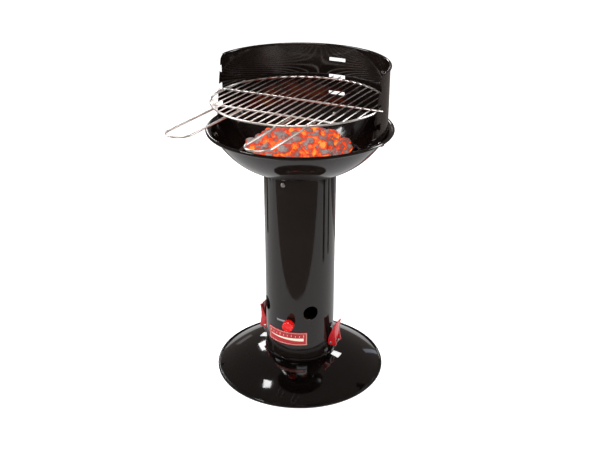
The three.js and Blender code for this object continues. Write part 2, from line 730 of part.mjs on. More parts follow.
// The collar under the bowl's floor: it goes down inside the column and takes the screws.
function bowlCollar() {
  const top = BOWL_FLOOR - SHEET - GAP;
  const line = [
    v2(NECK_RADIUS - COLLAR_FLANGE, top),
    v2(NECK_RADIUS, top),
    v2(NECK_RADIUS, BOWL_FLOOR - NECK_LENGTH),
  ];
  const radius = SCREW_RADIUS + HOLE_PLAY;
  const holes = SCREW_ANGLES.map((angle) =>
    radialHole(angle, SCREW_HEIGHT, radius, NECK_RADIUS - 6, NECK_RADIUS + 6, SMALL_SIDES),
  );
  return without(turned(sheetOutline(line, SHEET)), holes);
}

// ---------------------------------------------------------------- windscreen
const SCREEN_BOTTOM = BOWL_TOP + 1.4;
const SCREEN_TOP = SCREEN_BOTTOM + SCREEN_HEIGHT;
const GRID_LEVELS = [GRID_LEVEL - LEVEL_PITCH, GRID_LEVEL, GRID_LEVEL + LEVEL_PITCH];
const SEAT_PLAY = 1;
const WIDE = 300;

const edgeAt = (height) =>
  EDGE_BOTTOM + ((EDGE_TOP - EDGE_BOTTOM) * (height - SCREEN_BOTTOM)) / SCREEN_HEIGHT;

function frontCut() {
  const shape = new THREE.Shape();
  const roundStart = SCREEN_TOP - EDGE_ROUND;
  shape.moveTo(-WIDE, SCREEN_BOTTOM - 80);
  shape.lineTo(edgeAt(SCREEN_BOTTOM - 80), SCREEN_BOTTOM - 80);
  shape.lineTo(edgeAt(roundStart), roundStart);
  shape.quadraticCurveTo(EDGE_TOP, SCREEN_TOP, EDGE_TOP + EDGE_ROUND, SCREEN_TOP);
  shape.lineTo(EDGE_TOP + EDGE_ROUND, SCREEN_TOP + 40);
  shape.lineTo(-WIDE, SCREEN_TOP + 40);
  shape.closePath();
  return shape;
}

// A hooked notch: in from the front edge, then back down a ramp to the bar's seat.
function notch(level) {
  const sine = Math.sin(LIFT_ANGLE * DEG);
  const cosine = Math.cos(LIFT_ANGLE * DEG);
  const room = RING_WIRE + GAP;
  const rampStart = (room - cosine * room) / sine;
  const rampEnd = (room + cosine * LIP_RISE) / sine;
  const rear = -GRID_FORWARD + RING_WIRE + SEAT_PLAY;
  const shape = new THREE.Shape();
  shape.moveTo(rear, level + MOUTH_RISE);
  shape.lineTo(-WIDE, level + MOUTH_RISE);
  shape.lineTo(-WIDE, level + LIP_RISE);
  shape.lineTo(-GRID_FORWARD - rampEnd, level + LIP_RISE);
  shape.lineTo(-GRID_FORWARD - rampStart, level - room);
  shape.lineTo(rear, level - room);
  shape.closePath();
  return shape;
}

// Turns an outline of (y, z) points and pushes it right across the grill.
function across(shape) {
  const geometry = new THREE.ExtrudeGeometry(shape, { depth: WIDE * 2, bevelEnabled: false });
  const turn = new THREE.Matrix4().makeBasis(v3(0, 1, 0), v3(0, 0, 1), v3(1, 0, 0));
  return solid(geometry.applyMatrix4(turn).translate(-WIDE, 0, 0));
}

// A strap that follows the bowl's inside down from the screen and takes its screw.
function screenTab(angle) {
  const offset = SHEET / 2 + GAP + SCREEN_WALL / 2;
  const line = [
    v2(SCREEN_BORE + SCREEN_WALL / 2, SCREEN_BOTTOM + 6),
    bowlPoint(0, offset),
    bowlPoint(1 / BOWL_STEPS, offset),
    bowlPoint(2 / BOWL_STEPS, offset),
  ];
  const band = turned(sheetOutline(line, SCREEN_WALL));
  const half = Math.asin(TAB_HALF_WIDTH / SCREEN_RADIUS) / DEG;
  const angles = [angle - half, angle + half];
  const low = SCREEN_BOTTOM - TAB_LENGTH;
  return band.intersect(arcWall(NECK_RADIUS, SCREEN_RADIUS + 4, angles, low, SCREEN_BOTTOM + 10));
}

function windscreen() {
  const wall = [
    v2(SCREEN_BORE, SCREEN_BOTTOM),
    v2(SCREEN_RADIUS, SCREEN_BOTTOM),
    v2(SCREEN_RADIUS, SCREEN_TOP - SCREEN_BEAD),
    v2(SCREEN_BORE, SCREEN_TOP - SCREEN_BEAD),
  ];
  const top = bead(SCREEN_RADIUS + 0.4, SCREEN_TOP - SCREEN_BEAD, SCREEN_BEAD);
  const front = without(turned(wall).add(top), [across(frontCut())]);
  const notches = GRID_LEVELS.map((level) => across(notch(level)));
  const slots = GRID_LEVELS.map((level) => {
    const [width, height] = REAR_SLOT;
    const slot = new THREE.BoxGeometry(width, 40, height);
    return solid(slot.translate(0, SCREEN_RADIUS, level + RING_WIRE + height * 0.02));
  });
  const tabs = Object.values(SCREEN_SCREW_ANGLES).map(screenTab);
  return without(joined([without(front, [...notches, ...slots]), ...tabs]), screenHoles());
}

// ---------------------------------------------------------------- cooking grid
const ROD_LEVEL = GRID_LEVEL + RING_WIRE + ROD_WIRE - WELD;
const PRONG_TIP = SCREEN_BORE + 2;

const chord = (radius, offset) => Math.sqrt(radius * radius - offset * offset);

// Half the length of the front bar, which ends on the ring.
const FRONT_BAR_END = chord(GRID_RADIUS, FRONT_BAR - GRID_FORWARD);
const HANDLE_CENTRES = {
  left: -FRONT_BAR_END + HANDLE_INSETS[0],
  right: FRONT_BAR_END - HANDLE_INSETS[1],
};

function cookingGrid() {
  const middle = -GRID_FORWARD;
  const ring = new THREE.TorusGeometry(GRID_RADIUS, RING_WIRE, 6, BIG_SIDES);
  const pieces = [solid(ring.translate(0, middle, GRID_LEVEL))];
  const barEnd = GRID_RADIUS + BAR_OVERHANG;
  pieces.push(rod(v3(-barEnd, middle, GRID_LEVEL), v3(barEnd, middle, GRID_LEVEL), RING_WIRE));
  const frontEnd = FRONT_BAR_END + 1;
  pieces.push(
    rod(v3(-frontEnd, -FRONT_BAR, GRID_LEVEL), v3(frontEnd, -FRONT_BAR, GRID_LEVEL), RING_WIRE),
  );
  const rodPairs = Math.floor((GRID_RADIUS - ROD_MARGIN) / ROD_PITCH + 0.5);
  for (let i = 0; i < rodPairs * 2; i += 1) {
    const x = (i - rodPairs + 0.5) * ROD_PITCH;
    const half = chord(GRID_RADIUS, x) + RING_WIRE * 0.8;
    const rear = Math.abs(x) < ROD_PITCH ? PRONG_TIP : middle + half;
    pieces.push(rod(v3(x, middle - half, ROD_LEVEL), v3(x, rear, ROD_LEVEL), ROD_WIRE));
  }
  return joined(pieces);
}

function gridHandle(centre) {
  const level = GRID_LEVEL - RING_WIRE * 2 - GAP;
  const half = HANDLE_WIDTH / 2;
  const points = [v3(centre - half, -FRONT_BAR + RING_WIRE * 2, level)];
  for (let i = 0; i <= 12; i += 1) {
    const angle = Math.PI + (i / 12) * Math.PI;
    const y = -HANDLE_TIP + half + half * Math.sin(angle);
    points.push(v3(centre + half * Math.cos(angle), y, level));
  }
  points.push(v3(centre + half, -FRONT_BAR + RING_WIRE * 2, level));
  return wire(points, RING_WIRE);
}

// ---------------------------------------------------------------- charcoal grate and charcoal
const GRATE_HEIGHT = restingHeight(GRATE_RADIUS, SHEET / 2 + GRATE_WIRE + GAP);
const GRATE_TOP = GRATE_HEIGHT + GRATE_WIRE + GRATE_ROD * 2 - WELD;

function charcoalGrate() {
  const ring = new THREE.TorusGeometry(GRATE_RADIUS, GRATE_WIRE, 5, 36);
  const pieces = [solid(ring.translate(0, 0, GRATE_HEIGHT))];
  for (const y of [-GRATE_RADIUS / 2, GRATE_RADIUS / 2]) {
    const end = chord(GRATE_RADIUS, y);
    pieces.push(rod(v3(-end, y, GRATE_HEIGHT), v3(end, y, GRATE_HEIGHT), GRATE_WIRE));
  }
  const level = GRATE_TOP - GRATE_ROD;
  const rodPairs = Math.floor((GRATE_RADIUS - GRATE_MARGIN) / GRATE_PITCH + 0.5);
  for (let i = 0; i < rodPairs * 2; i += 1) {
    const x = (i - rodPairs + 0.5) * GRATE_PITCH;
    const end = chord(GRATE_RADIUS, x);
    pieces.push(rod(v3(x, -end, level), v3(x, end, level), GRATE_ROD, 5));
  }
  return joined(pieces);
}

function charcoalBed() {
  const low = GRATE_TOP + GAP;
  return turned([
    v2(0, low),
    v2(COAL_RADIUS - 12, low),
    v2(COAL_RADIUS, low + COAL_EDGE * 0.6),
    v2(COAL_RADIUS - 4, low + COAL_EDGE),
    v2(COAL_RADIUS * 0.7, low + COAL_EDGE + (COAL_CROWN - COAL_EDGE) * 0.7),
    v2(COAL_RADIUS * 0.3, low + COAL_CROWN),
    v2(0, low + COAL_CROWN),
  ]);
}

// ---------------------------------------------------------------- assembly
const grill = new THREE.Group();

grill.add(mesh('base_plate', basePlate(), blackEnamel));
grill.add(mesh('ash_pan', ashPan(), zincSteel));
grill.add(mesh('column_tube', columnTube(), blackEnamel));
grill.add(mesh('scale_plate', scalePlate(), redPlate));
grill.add(mesh('damper_ring', damperRing(), zincSteel));
const knobPlace = outward(KNOB_REST_ANGLE, SLOT_HEIGHT, COLUMN_RADIUS + KNOB_FACE);
grill.add(placed('damper_knob', damperKnob(), redPlastic, knobPlace));
const stemPlace = outward(KNOB_REST_ANGLE, SLOT_HEIGHT, STEM_SEAT);
grill.add(placed('knob_screw', knobScrew(), zincSteel, stemPlace));
grill.add(latch('right'));
grill.add(latch('left'));

grill.add(mesh('bowl', bowl(), blackEnamel));
grill.add(mesh('bowl_collar', bowlCollar(), blackEnamel));
SCREW_ANGLES.forEach((angle, i) => {
  const matrix = outward(angle, SCREW_HEIGHT, COLUMN_RADIUS + GAP);
  const neckBore = NECK_RADIUS - SHEET / 2;
  const neckInside = COLUMN_RADIUS + GAP - neckBore + wallDip(neckBore, NUT_RADIUS) + GAP;
  grill.add(placed(`column_screw_${i + 1}`, screw(14), zincSteel, matrix));
  grill.add(placed(`column_nut_${i + 1}`, nut(neckInside), zincSteel, matrix));
});

grill.add(mesh('windscreen', windscreen(), blackEnamel));
const tabFace = SHEET / 2 + GAP + SCREEN_WALL + GAP + wallDip(BOWL_WALL_RADIUS, SCREW_HEAD);
for (const [side, angle] of Object.entries(SCREEN_SCREW_ANGLES)) {
  const matrix = onBowl(angle, tabFace);
  const bowlOutside = tabFace + SHEET / 2 + GAP;
  grill.add(placed(`windscreen_screw_${side}`, screw(11), zincSteel, matrix));
  grill.add(placed(`windscreen_nut_${side}`, nut(bowlOutside), zincSteel, matrix));
}

grill.add(mesh('charcoal_grate', charcoalGrate(), zincSteel));
grill.add(mesh('charcoal_bed', charcoalBed(), glowingCoal));
grill.add(mesh('cooking_grid', cookingGrid(), chromeWire));
for (const [side, centre] of Object.entries(HANDLE_CENTRES)) {
  grill.add(mesh(`grid_handle_${side}`, gridHandle(centre), chromeWire));
}

export default grill;
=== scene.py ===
"""A pedestal charcoal grill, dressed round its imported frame. Units are metres."""

import math
import random

import bmesh
import bpy
import numpy as np
from mathutils import Matrix, Vector, noise
from mathutils.geometry import tessellate_polygon


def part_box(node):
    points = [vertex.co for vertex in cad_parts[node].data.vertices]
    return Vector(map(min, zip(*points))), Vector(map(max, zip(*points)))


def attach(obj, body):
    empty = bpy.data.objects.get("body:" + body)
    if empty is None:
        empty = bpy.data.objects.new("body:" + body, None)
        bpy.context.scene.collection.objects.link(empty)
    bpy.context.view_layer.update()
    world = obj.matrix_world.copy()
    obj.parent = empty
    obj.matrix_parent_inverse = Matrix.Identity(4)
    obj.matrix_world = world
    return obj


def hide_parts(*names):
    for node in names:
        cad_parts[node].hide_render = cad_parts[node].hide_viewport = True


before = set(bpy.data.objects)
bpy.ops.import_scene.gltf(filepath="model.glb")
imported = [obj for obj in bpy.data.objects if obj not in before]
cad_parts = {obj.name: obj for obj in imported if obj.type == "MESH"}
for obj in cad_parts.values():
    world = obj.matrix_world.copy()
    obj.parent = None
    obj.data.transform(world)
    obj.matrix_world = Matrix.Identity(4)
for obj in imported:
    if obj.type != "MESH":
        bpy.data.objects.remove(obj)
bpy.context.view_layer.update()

# ---------------------------------------------------------------- sizes
GAP = 0.0003  # between pieces that touch
SHEET = 0.0012  # steel sheet of the bowl, base and column
ROUND_STEPS = 192  # facets round the large turned pieces
DETAIL_STEPS = 40  # facets round small turned pieces

column_low, column_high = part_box("column_tube")
COLUMN_RADIUS = column_high.x
COLUMN_FOOT = column_low.z
COLUMN_TOP = column_high.z
COLUMN_BORE = COLUMN_RADIUS - SHEET

base_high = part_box("base_plate")[1]
BASE_RADIUS = base_high.x
BASE_BEAD = 0.004
CROWN_HEIGHT = COLUMN_FOOT - 0.008
COLLAR_RADIUS = COLUMN_RADIUS + 0.0028
COLLAR_TOP = COLUMN_FOOT - GAP - SHEET / 2
SPIGOT_RADIUS = COLUMN_BORE - 0.0005 - SHEET / 2
SPIGOT_TOP = base_high.z
HOOK_SHEET = 0.0016
HOOK_OUT = COLLAR_RADIUS + 0.0024
HOOK_HALF_WIDTH = 0.0048
HOOK_HOLE = 0.022

AIR_HOLE_RADIUS = 0.019
AIR_HOLE_HEIGHT = COLUMN_FOOT + 0.131
AIR_HOLE_ANGLES = (45, 135, 225, 315)
SLOT_HEIGHT = AIR_HOLE_HEIGHT - 0.027
SLOT_HALF_HEIGHT = 0.0036
SLOT_HALF_ANGLE = 14.7
KNOB_ANGLE = 10.4  # from the front, in degrees
KNOB_FACE = 0.006  # the knob's back stands this far off the column
SCREW_RADIUS = 0.003
SCREW_HOLE = 0.0034
COLUMN_SCREW_ANGLES = (0, 120, 240)
COLUMN_SCREW_HEIGHT = COLUMN_TOP - 0.013

grid_low, grid_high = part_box("cooking_grid")
GRID_RADIUS = 0.200
RING_WIRE = 0.0025
ROD_WIRE = 0.0015
ROD_COUNT = 20
ROD_PITCH = 0.0195
GRID_LEVEL = grid_low.z + RING_WIRE
ROD_LEVEL = grid_high.z - ROD_WIRE
GRID_MIDDLE = grid_low.y + RING_WIRE + GRID_RADIUS
LEVEL_PITCH = 0.0426

SCREEN_WALL = 0.0009
SCREEN_BORE = GRID_RADIUS + RING_WIRE + 0.0025
SCREEN_RADIUS = SCREEN_BORE + SCREEN_WALL
SCREEN_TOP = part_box("windscreen")[1].z
SCREEN_HEIGHT = 0.156
SCREEN_BOTTOM = SCREEN_TOP - SCREEN_HEIGHT
SCREEN_BEAD = 0.003

BOWL_BEAD = 0.004
RIM_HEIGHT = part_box("bowl")[1].z
BOWL_TOP = RIM_HEIGHT - 0.008
BOWL_WALL_RADIUS = SCREEN_RADIUS + GAP + SHEET
NECK_RADIUS = SPIGOT_RADIUS
BOWL_FLOOR = COLUMN_TOP + 0.0012
COLLAR_FLANGE = 0.013


# ---------------------------------------------------------------- node materials
class Look:
    """A material whose nodes all feed one Principled shader."""

    def __init__(self, name):
        self.material = bpy.data.materials.new(name)
        self.material.use_nodes = True
        self.tree = self.material.node_tree
        self.shader = self.tree.nodes["Principled BSDF"]
        self.place = self.node("ShaderNodeTexCoord").outputs["Object"]

    def node(self, kind, inputs=None, **settings):
        made = self.tree.nodes.new(kind)
        for key, value in settings.items():
            setattr(made, key, value)
        for key, value in (inputs or {}).items():
            self.feed(made.inputs[key], value)
        return made

    def feed(self, socket, value):
        if isinstance(value, bpy.types.NodeSocket):
            self.tree.links.new(value, socket)
        else:
            socket.default_value = value

    def set(self, **values):
        for key, value in values.items():
            self.feed(self.shader.inputs[key.replace("_", " ")], value)

    def noise(self, scale, detail=3.0, roughness=0.55, place=None):
        inputs = {
            "Vector": place or self.place,
            "Scale": scale,
            "Detail": detail,
            "Roughness": roughness,
        }
        return self.node("ShaderNodeTexNoise", inputs).outputs["Fac"]

    def cells(self, scale, feature="F1", output="Distance", place=None):
        inputs = {"Vector": place or self.place, "Scale": scale}
        made = self.node("ShaderNodeTexVoronoi", inputs, feature=feature)
        return made.outputs[output]

    def span(self, value, low, high, to_low=0.0, to_high=1.0):
        inputs = {
            "Value": value,
            "From Min": low,
            "From Max": high,
            "To Min": to_low,
            "To Max": to_high,
        }
        return self.node("ShaderNodeMapRange", inputs).outputs["Result"]

    def maths(self, operation, first, second=0.0):
        made = self.node("ShaderNodeMath", operation=operation)
        self.feed(made.inputs[0], first)
        self.feed(made.inputs[1], second)
        return made.outputs[0]

    def ramp(self, value, stops):
        made = self.node("ShaderNodeValToRGB", {"Fac": value})
        points = made.color_ramp.elements
        while len(points) < len(stops):
            points.new(0.5)
        for point, (position, colour) in zip(points, stops):
            point.position = position
            point.color = (*colour, 1.0)
        return made.outputs["Color"]

    def mix(self, share, first, second):
        made = self.node("ShaderNodeMix", data_type="RGBA")
        self.feed(made.inputs["Factor"], share)
        for socket, colour in ((made.inputs[6], first), (made.inputs[7], second)):
            self.feed(socket, (*colour, 1.0) if isinstance(colour, tuple) else colour)
        return made.outputs[2]

    def bump(self, height, distance, strength=1.0, under=None):
        inputs = {"Height": height, "Distance": distance, "Strength": strength}
        if under is not None:
            inputs["Normal"] = under
        return self.node("ShaderNodeBump", inputs).outputs["Normal"]


def enamel_look(name, ash=0.0):
    """Black vitreous enamel: a faint brown cast, orange peel, dust and fine rubbing marks."""
    look = Look(name)
    clouds = look.noise(9.0, 4.0)
    smears = look.noise(38.0, 5.0, 0.65)
    colour = look.mix(clouds, (0.0045, 0.0035, 0.0032), (0.010, 0.0070, 0.0058))
    dust = look.span(look.noise(620.0, 2.0, 0.7), 0.72, 0.82)
    dust = look.maths("MULTIPLY", dust, look.span(smears, 0.45, 0.75, 0.0, 0.18))
    colour = look.mix(dust, colour, (0.10, 0.095, 0.09))
    roughness = look.span(smears, 0.3, 0.75, 0.04, 0.11)
    if ash:
        facing = look.node("ShaderNodeNewGeometry").outputs["Normal"]
        upward = look.node("ShaderNodeSeparateXYZ", {"Vector": facing}).outputs["Z"]
        height = look.node("ShaderNodeSeparateXYZ", {"Vector": look.place}).outputs["Z"]
        low = look.span(height, BOWL_TOP - 0.02, BOWL_FLOOR + 0.02)
        flecks = look.span(look.noise(160.0, 6.0, 0.75), 0.42, 0.72)
        cover = look.maths("MULTIPLY", look.maths("MULTIPLY", low, flecks), look.span(upward, 0.05, 0.4))
        cover = look.maths("MULTIPLY", cover, ash)
        colour = look.mix(cover, colour, (0.17, 0.155, 0.145))
        roughness = look.maths("ADD", roughness, look.span(cover, 0.0, 0.6, 0.0, 0.6))
    peel = look.bump(look.noise(210.0, 2.0, 0.4), 0.00005, 0.35)
    normal = look.bump(look.noise(26.0, 1.0), 0.0004, 0.25, peel)
    look.set(Base_Color=colour, Roughness=roughness, Normal=normal, IOR=1.5)
    return look.material


def chrome_look(name, heat=0.0):
    """Plated wire: drawing lines, cloudy haze and, where it meets the fire, straw tinting."""
    look = Look(name)
    haze = look.noise(70.0, 4.0, 0.6)
    grain = look.noise(900.0, 2.0, 0.6)
    colour = look.mix(haze, (0.85, 0.81, 0.79), (0.69, 0.65, 0.63))
    if heat:
        tint = look.maths("MULTIPLY", look.span(look.noise(16.0, 3.0), 0.48, 0.72), heat)
        colour = look.mix(tint, colour, (0.50, 0.38, 0.27))
    roughness = look.span(haze, 0.3, 0.7, 0.24, 0.38)
    roughness = look.maths("ADD", roughness, look.span(grain, 0.3, 0.7, 0.0, 0.05))
    look.set(Base_Color=colour, Roughness=roughness, Metallic=1.0)
    look.set(Normal=look.bump(grain, 0.00004, 0.4))
    return look.material


def zinc_look(name, colour_low, colour_high, spangle, roughness):
    """Zinc-coated steel: crystals of slightly different greys, dulled in patches."""
    look = Look(name)
    crystals = look.node("ShaderNodeTexVoronoi", {"Vector": look.place, "Scale": spangle}).outputs["Color"]
    shade = look.node("ShaderNodeSeparateColor", {"Color": crystals}).outputs["Red"]
    worn = look.noise(spangle * 0.35, 5.0, 0.6)
    colour = look.mix(look.maths("MULTIPLY", shade, worn), colour_low, colour_high)
    rough = look.span(worn, 0.3, 0.7, roughness - 0.08, roughness + 0.12)
    rough = look.maths("ADD", rough, look.span(shade, 0.0, 1.0, -0.04, 0.04))
    look.set(Base_Color=colour, Roughness=rough, Metallic=1.0)
    look.set(Normal=look.bump(look.noise(spangle * 6.0, 2.0), 0.00006, 0.5))
    return look.material


def red_look(name, dark, bright, roughness, coat, peel, peel_depth):
    """Red paint or plastic: uneven depth of colour, fine texture and scuffs."""
    look = Look(name)
    clouds = look.noise(45.0, 4.0, 0.6)
    scuffs = look.span(look.noise(420.0, 4.0, 0.8), 0.64, 0.8)
    colour = look.mix(clouds, dark, bright)
    colour = look.mix(look.maths("MULTIPLY", scuffs, 0.35), colour, tuple(0.6 * c for c in dark))
    rough = look.span(clouds, 0.3, 0.7, roughness - 0.04, roughness + 0.08)
    rough = look.maths("ADD", rough, look.span(scuffs, 0.0, 1.0, 0.0, 0.2))
    look.set(Base_Color=colour, Roughness=rough, Coat_Weight=coat, Coat_Roughness=0.05)
    look.set(Normal=look.bump(look.noise(peel, 2.0), peel_depth, 0.4))
    return look.material


def print_look(name):
    """Cream screen printing: slightly thin and speckled ink."""
    look = Look(name)
    speckle = look.noise(1400.0, 3.0, 0.7)
    colour = look.mix(speckle, (0.80, 0.72, 0.55), (0.92, 0.87, 0.74))
    look.set(Base_Color=colour, Roughness=look.span(speckle, 0.3, 0.7, 0.3, 0.5))
    look.set(Normal=look.bump(speckle, 0.00002, 0.5))
    return look.material


def charcoal_look(name):
    """Burning charcoal: grey ash on cool faces, orange heat in the cracks and lower down."""
    look = Look(name)
    upward = look.node("ShaderNodeNewGeometry").outputs["Normal"]
    upward = look.node("ShaderNodeSeparateXYZ", {"Vector": upward}).outputs["Z"]
    across = look.node("ShaderNodeVectorMath", operation="MULTIPLY")
    look.feed(across.inputs[0], look.place)
    look.feed(across.inputs[1], (1.0, 1.0, 0.0))
    reach = look.node("ShaderNodeVectorMath", {"Vector": across.outputs["Vector"]}, operation="LENGTH")
    heat = look.span(upward, -0.4, 1.0, 0.84, 0.50)
    heat = look.maths("SUBTRACT", heat, look.span(look.noise(24.0, 2.0), 0.48, 0.62, 0.0, 0.34))
    heat = look.maths("SUBTRACT", heat, look.span(reach.outputs["Value"], 0.075, 0.133, 0.0, 0.22))
    veins = look.noise(52.0, 5.0, 0.58)
    grain = look.noise(480.0, 5.0, 0.7)
    cracks = look.span(look.cells(150.0, "DISTANCE_TO_EDGE"), 0.0, 0.09, 1.0, 0.0)
    warmth = look.maths("ADD", heat, look.span(veins, 0.32, 0.68, -0.42, 0.42))
    warmth = look.maths("ADD", warmth, look.maths("MULTIPLY", cracks, 0.18))
    glow = look.ramp(
        warmth,
        [
            (0.32, (0.0, 0.0, 0.0)),
            (0.40, (0.12, 0.009, 0.004)),
            (0.54, (0.56, 0.030, 0.006)),
            (0.74, (0.95, 0.09, 0.012)),
            (0.98, (1.0, 0.34, 0.05)),
        ],
    )
    ash = look.mix(look.span(grain, 0.3, 0.7), (0.15, 0.125, 0.12), (0.58, 0.51, 0.49))
    colour = look.mix(look.span(warmth, 0.25, 0.5), ash, (0.07, 0.02, 0.015))
    look.set(Base_Color=colour, Roughness=look.span(grain, 0.2, 0.8, 0.8, 1.0))
    look.set(Emission_Color=glow, Emission_Strength=1.25)
    look.set(Normal=look.bump(grain, 0.0012, 0.6, look.bump(veins, 0.003, 0.5)))
    return look.material


def grate_look(name):
    """Heat-blackened wire with scale and ash in it."""
    look = Look(name)
    scale = look.noise(240.0, 5.0, 0.7)
    colour = look.mix(look.span(scale, 0.35, 0.7), (0.03, 0.026, 0.024), (0.16, 0.13, 0.115))
    look.set(Base_Color=colour, Roughness=look.span(scale, 0.3, 0.7, 0.5, 0.85), Metallic=0.6)
    look.set(Normal=look.bump(scale, 0.0003, 0.6))
    return look.material


ENAMEL = enamel_look("black_enamel")
BOWL_ENAMEL = enamel_look("bowl_enamel", ash=0.3)
CHROME = chrome_look("chrome_wire", heat=0.6)
BAIL_CHROME = chrome_look("bail_wire")
GALVANISED = zinc_look("galvanised_sheet", (0.40, 0.41, 0.42), (0.66, 0.67, 0.68), 130.0, 0.34)
ZINC = zinc_look("zinc_fastener", (0.52, 0.52, 0.51), (0.80, 0.79, 0.77), 900.0, 0.26)
RED_LEVER = red_look("lever_red", (0.40, 0.008, 0.012), (0.56, 0.014, 0.02), 0.24, 0.5, 300.0, 0.00008)
RED_KNOB = red_look("knob_red", (0.58, 0.001, 0.001), (0.80, 0.004, 0.003), 0.16, 0.3, 120.0, 0.00004)
RED_PLATE = red_look("plate_red", (0.36, 0.005, 0.012), (0.46, 0.009, 0.018), 0.34, 0.1, 900.0, 0.00003)
CREAM = print_look("cream_print")
CHARCOAL = charcoal_look("burning_charcoal")
GRATE = grate_look("burnt_wire")


# ---------------------------------------------------------------- points
def v2(x, y):
    return Vector((x, y))


def v3(x, y, z):
    return Vector((x, y, z))


def circle(radius, steps):
    """Points evenly round a circle about the origin."""
    turns = (2 * math.pi * i / steps for i in range(steps))
    return [v2(radius * math.cos(turn), radius * math.sin(turn)) for turn in turns]


def on_curve(start, control, end, t):
    """The point a share t of the way along a quadratic curve."""
    return start * (1 - t) ** 2 + control * 2 * t * (1 - t) + end * t * t


# ---------------------------------------------------------------- mesh building
def skin(build, rings):
    """Faces between rings of vertices, where a ring of one vertex is a pole."""
    for one, two in zip(rings, rings[1:]):
        count = max(len(one), len(two))
        for i in range(count):
            k = (i + 1) % count
            if len(one) == 1:
                build.faces.new((one[0], two[i], two[k]))
            elif len(two) == 1:
                build.faces.new((one[i], one[k], two[0]))
            else:
                build.faces.new((one[i], one[k], two[k], two[i]))


def piece(name, build, material, body, replaces=(), sharp=35.0):
    """Makes an object from a bmesh, smooth but for edges sharper than the given angle."""
    bmesh.ops.recalc_face_normals(build, faces=build.faces)
    mesh = bpy.data.meshes.new(name)
    build.to_mesh(mesh)
    build.free()
    for face in mesh.polygons:
        face.use_smooth = True
    mesh.set_sharp_from_angle(angle=math.radians(sharp))
    mesh.materials.append(material)
    thing = bpy.data.objects.new(name, mesh)
    bpy.context.scene.collection.objects.link(thing)
    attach(thing, body)
    if replaces:
        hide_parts(*replaces)
    return thing


def polar(angle, radius, height):
    """A point at an angle in degrees from the front, towards +X."""
    turn = math.radians(angle)
    return Vector((radius * math.sin(turn), -radius * math.cos(turn), height))


def facing(angle, height, radius):
    """A frame whose +Z points outwards from the column's axis, and whose +Y points up."""
    out = polar(angle, 1.0, 0.0)
    across = polar(angle + 90, 1.0, 0.0)
    turn = Matrix((across, Vector((0, 0, 1)), out)).transposed().to_4x4()
    return Matrix.Translation(polar(angle, radius, height)) @ turn


def normals_along(line):
    """The left-hand normal of a line of 2-D points at each of them, long enough for a mitre."""
    result = []
    for i, point in enumerate(line):
        before = (point - line[max(i - 1, 0)]).normalized() if i else None
        after = (line[min(i + 1, len(line) - 1)] - point).normalized() if i < len(line) - 1 else None
        arriving = before or after
        leaving = after or before
        along = (arriving + leaving).normalized()
        result.append(v2(-along.y, along.x) / max(along.dot(arriving), 0.5))
    return result


def sheet_outline(line, thickness):
    """A closed outline of even thickness round a line of points."""
    pairs = [(p + n * thickness / 2, p - n * thickness / 2) for p, n in zip(line, normals_along(line))]
    return [pair[0] for pair in pairs] + [pair[1] for pair in reversed(pairs)]


def curve_points(start, control, end, count):
    """Points on a quadratic curve, both ends included."""
    return [on_curve(start, control, end, i / count) for i in range(count + 1)]


def soften(corners, radius, steps=6, closed=False):
    """Rounds the corners of a line of 2-D or 3-D points."""
    points = [] if closed else [corners[0]]
    count = len(corners)
    for i in range(count) if closed else range(1, count - 1):
        here, before, after = corners[i], corners[i - 1], corners[(i + 1) % count]
        reach_in = min(radius, (before - here).length * 0.48)
        reach_out = min(radius, (after - here).length * 0.48)
        start = here + (before - here).normalized() * reach_in
        end = here + (after - here).normalized() * reach_out
        points.extend(curve_points(start, here, end, steps))
    if not closed:
        points.append(corners[-1])
    return points


def turn_outline(build, outline, steps=ROUND_STEPS, matrix=None):
    """Turns a closed outline of (radius, height) points about +Z into a solid."""
    rings = []
    for i in range(steps):
        angle = 2 * math.pi * i / steps
        ring = []
        for point in outline:
            place = Vector((point.x * math.cos(angle), point.x * math.sin(angle), point.y))
            ring.append(build.verts.new(matrix @ place if matrix else place))
        rings.append(ring)
    skin(build, rings + rings[:1])
    bmesh.ops.remove_doubles(build, verts=[v for ring in rings for v in ring], dist=1e-7)


def turn_profile(build, profile, steps=DETAIL_STEPS, matrix=None):
    """Turns an open profile whose two ends lie on the axis."""
    rings = []
    for point in profile:
        if point.x < 1e-9:
            place = Vector((0, 0, point.y))
            rings.append([build.verts.new(matrix @ place if matrix else place)])
            continue
        places = [v3(spot.x, spot.y, point.y) for spot in circle(point.x, steps)]
        rings.append([build.verts.new(matrix @ place if matrix else place) for place in places])
    skin(build, rings)


def ring_wire(build, radius, height, wire, centre=v2(0, 0), steps=ROUND_STEPS, sides=16):
    """A round wire bent into a closed ring about an upright axis."""
    section = [v2(radius, height) + spot for spot in circle(wire, sides)]
    turn_outline(build, section, steps, Matrix.Translation((centre.x, centre.y, 0)))


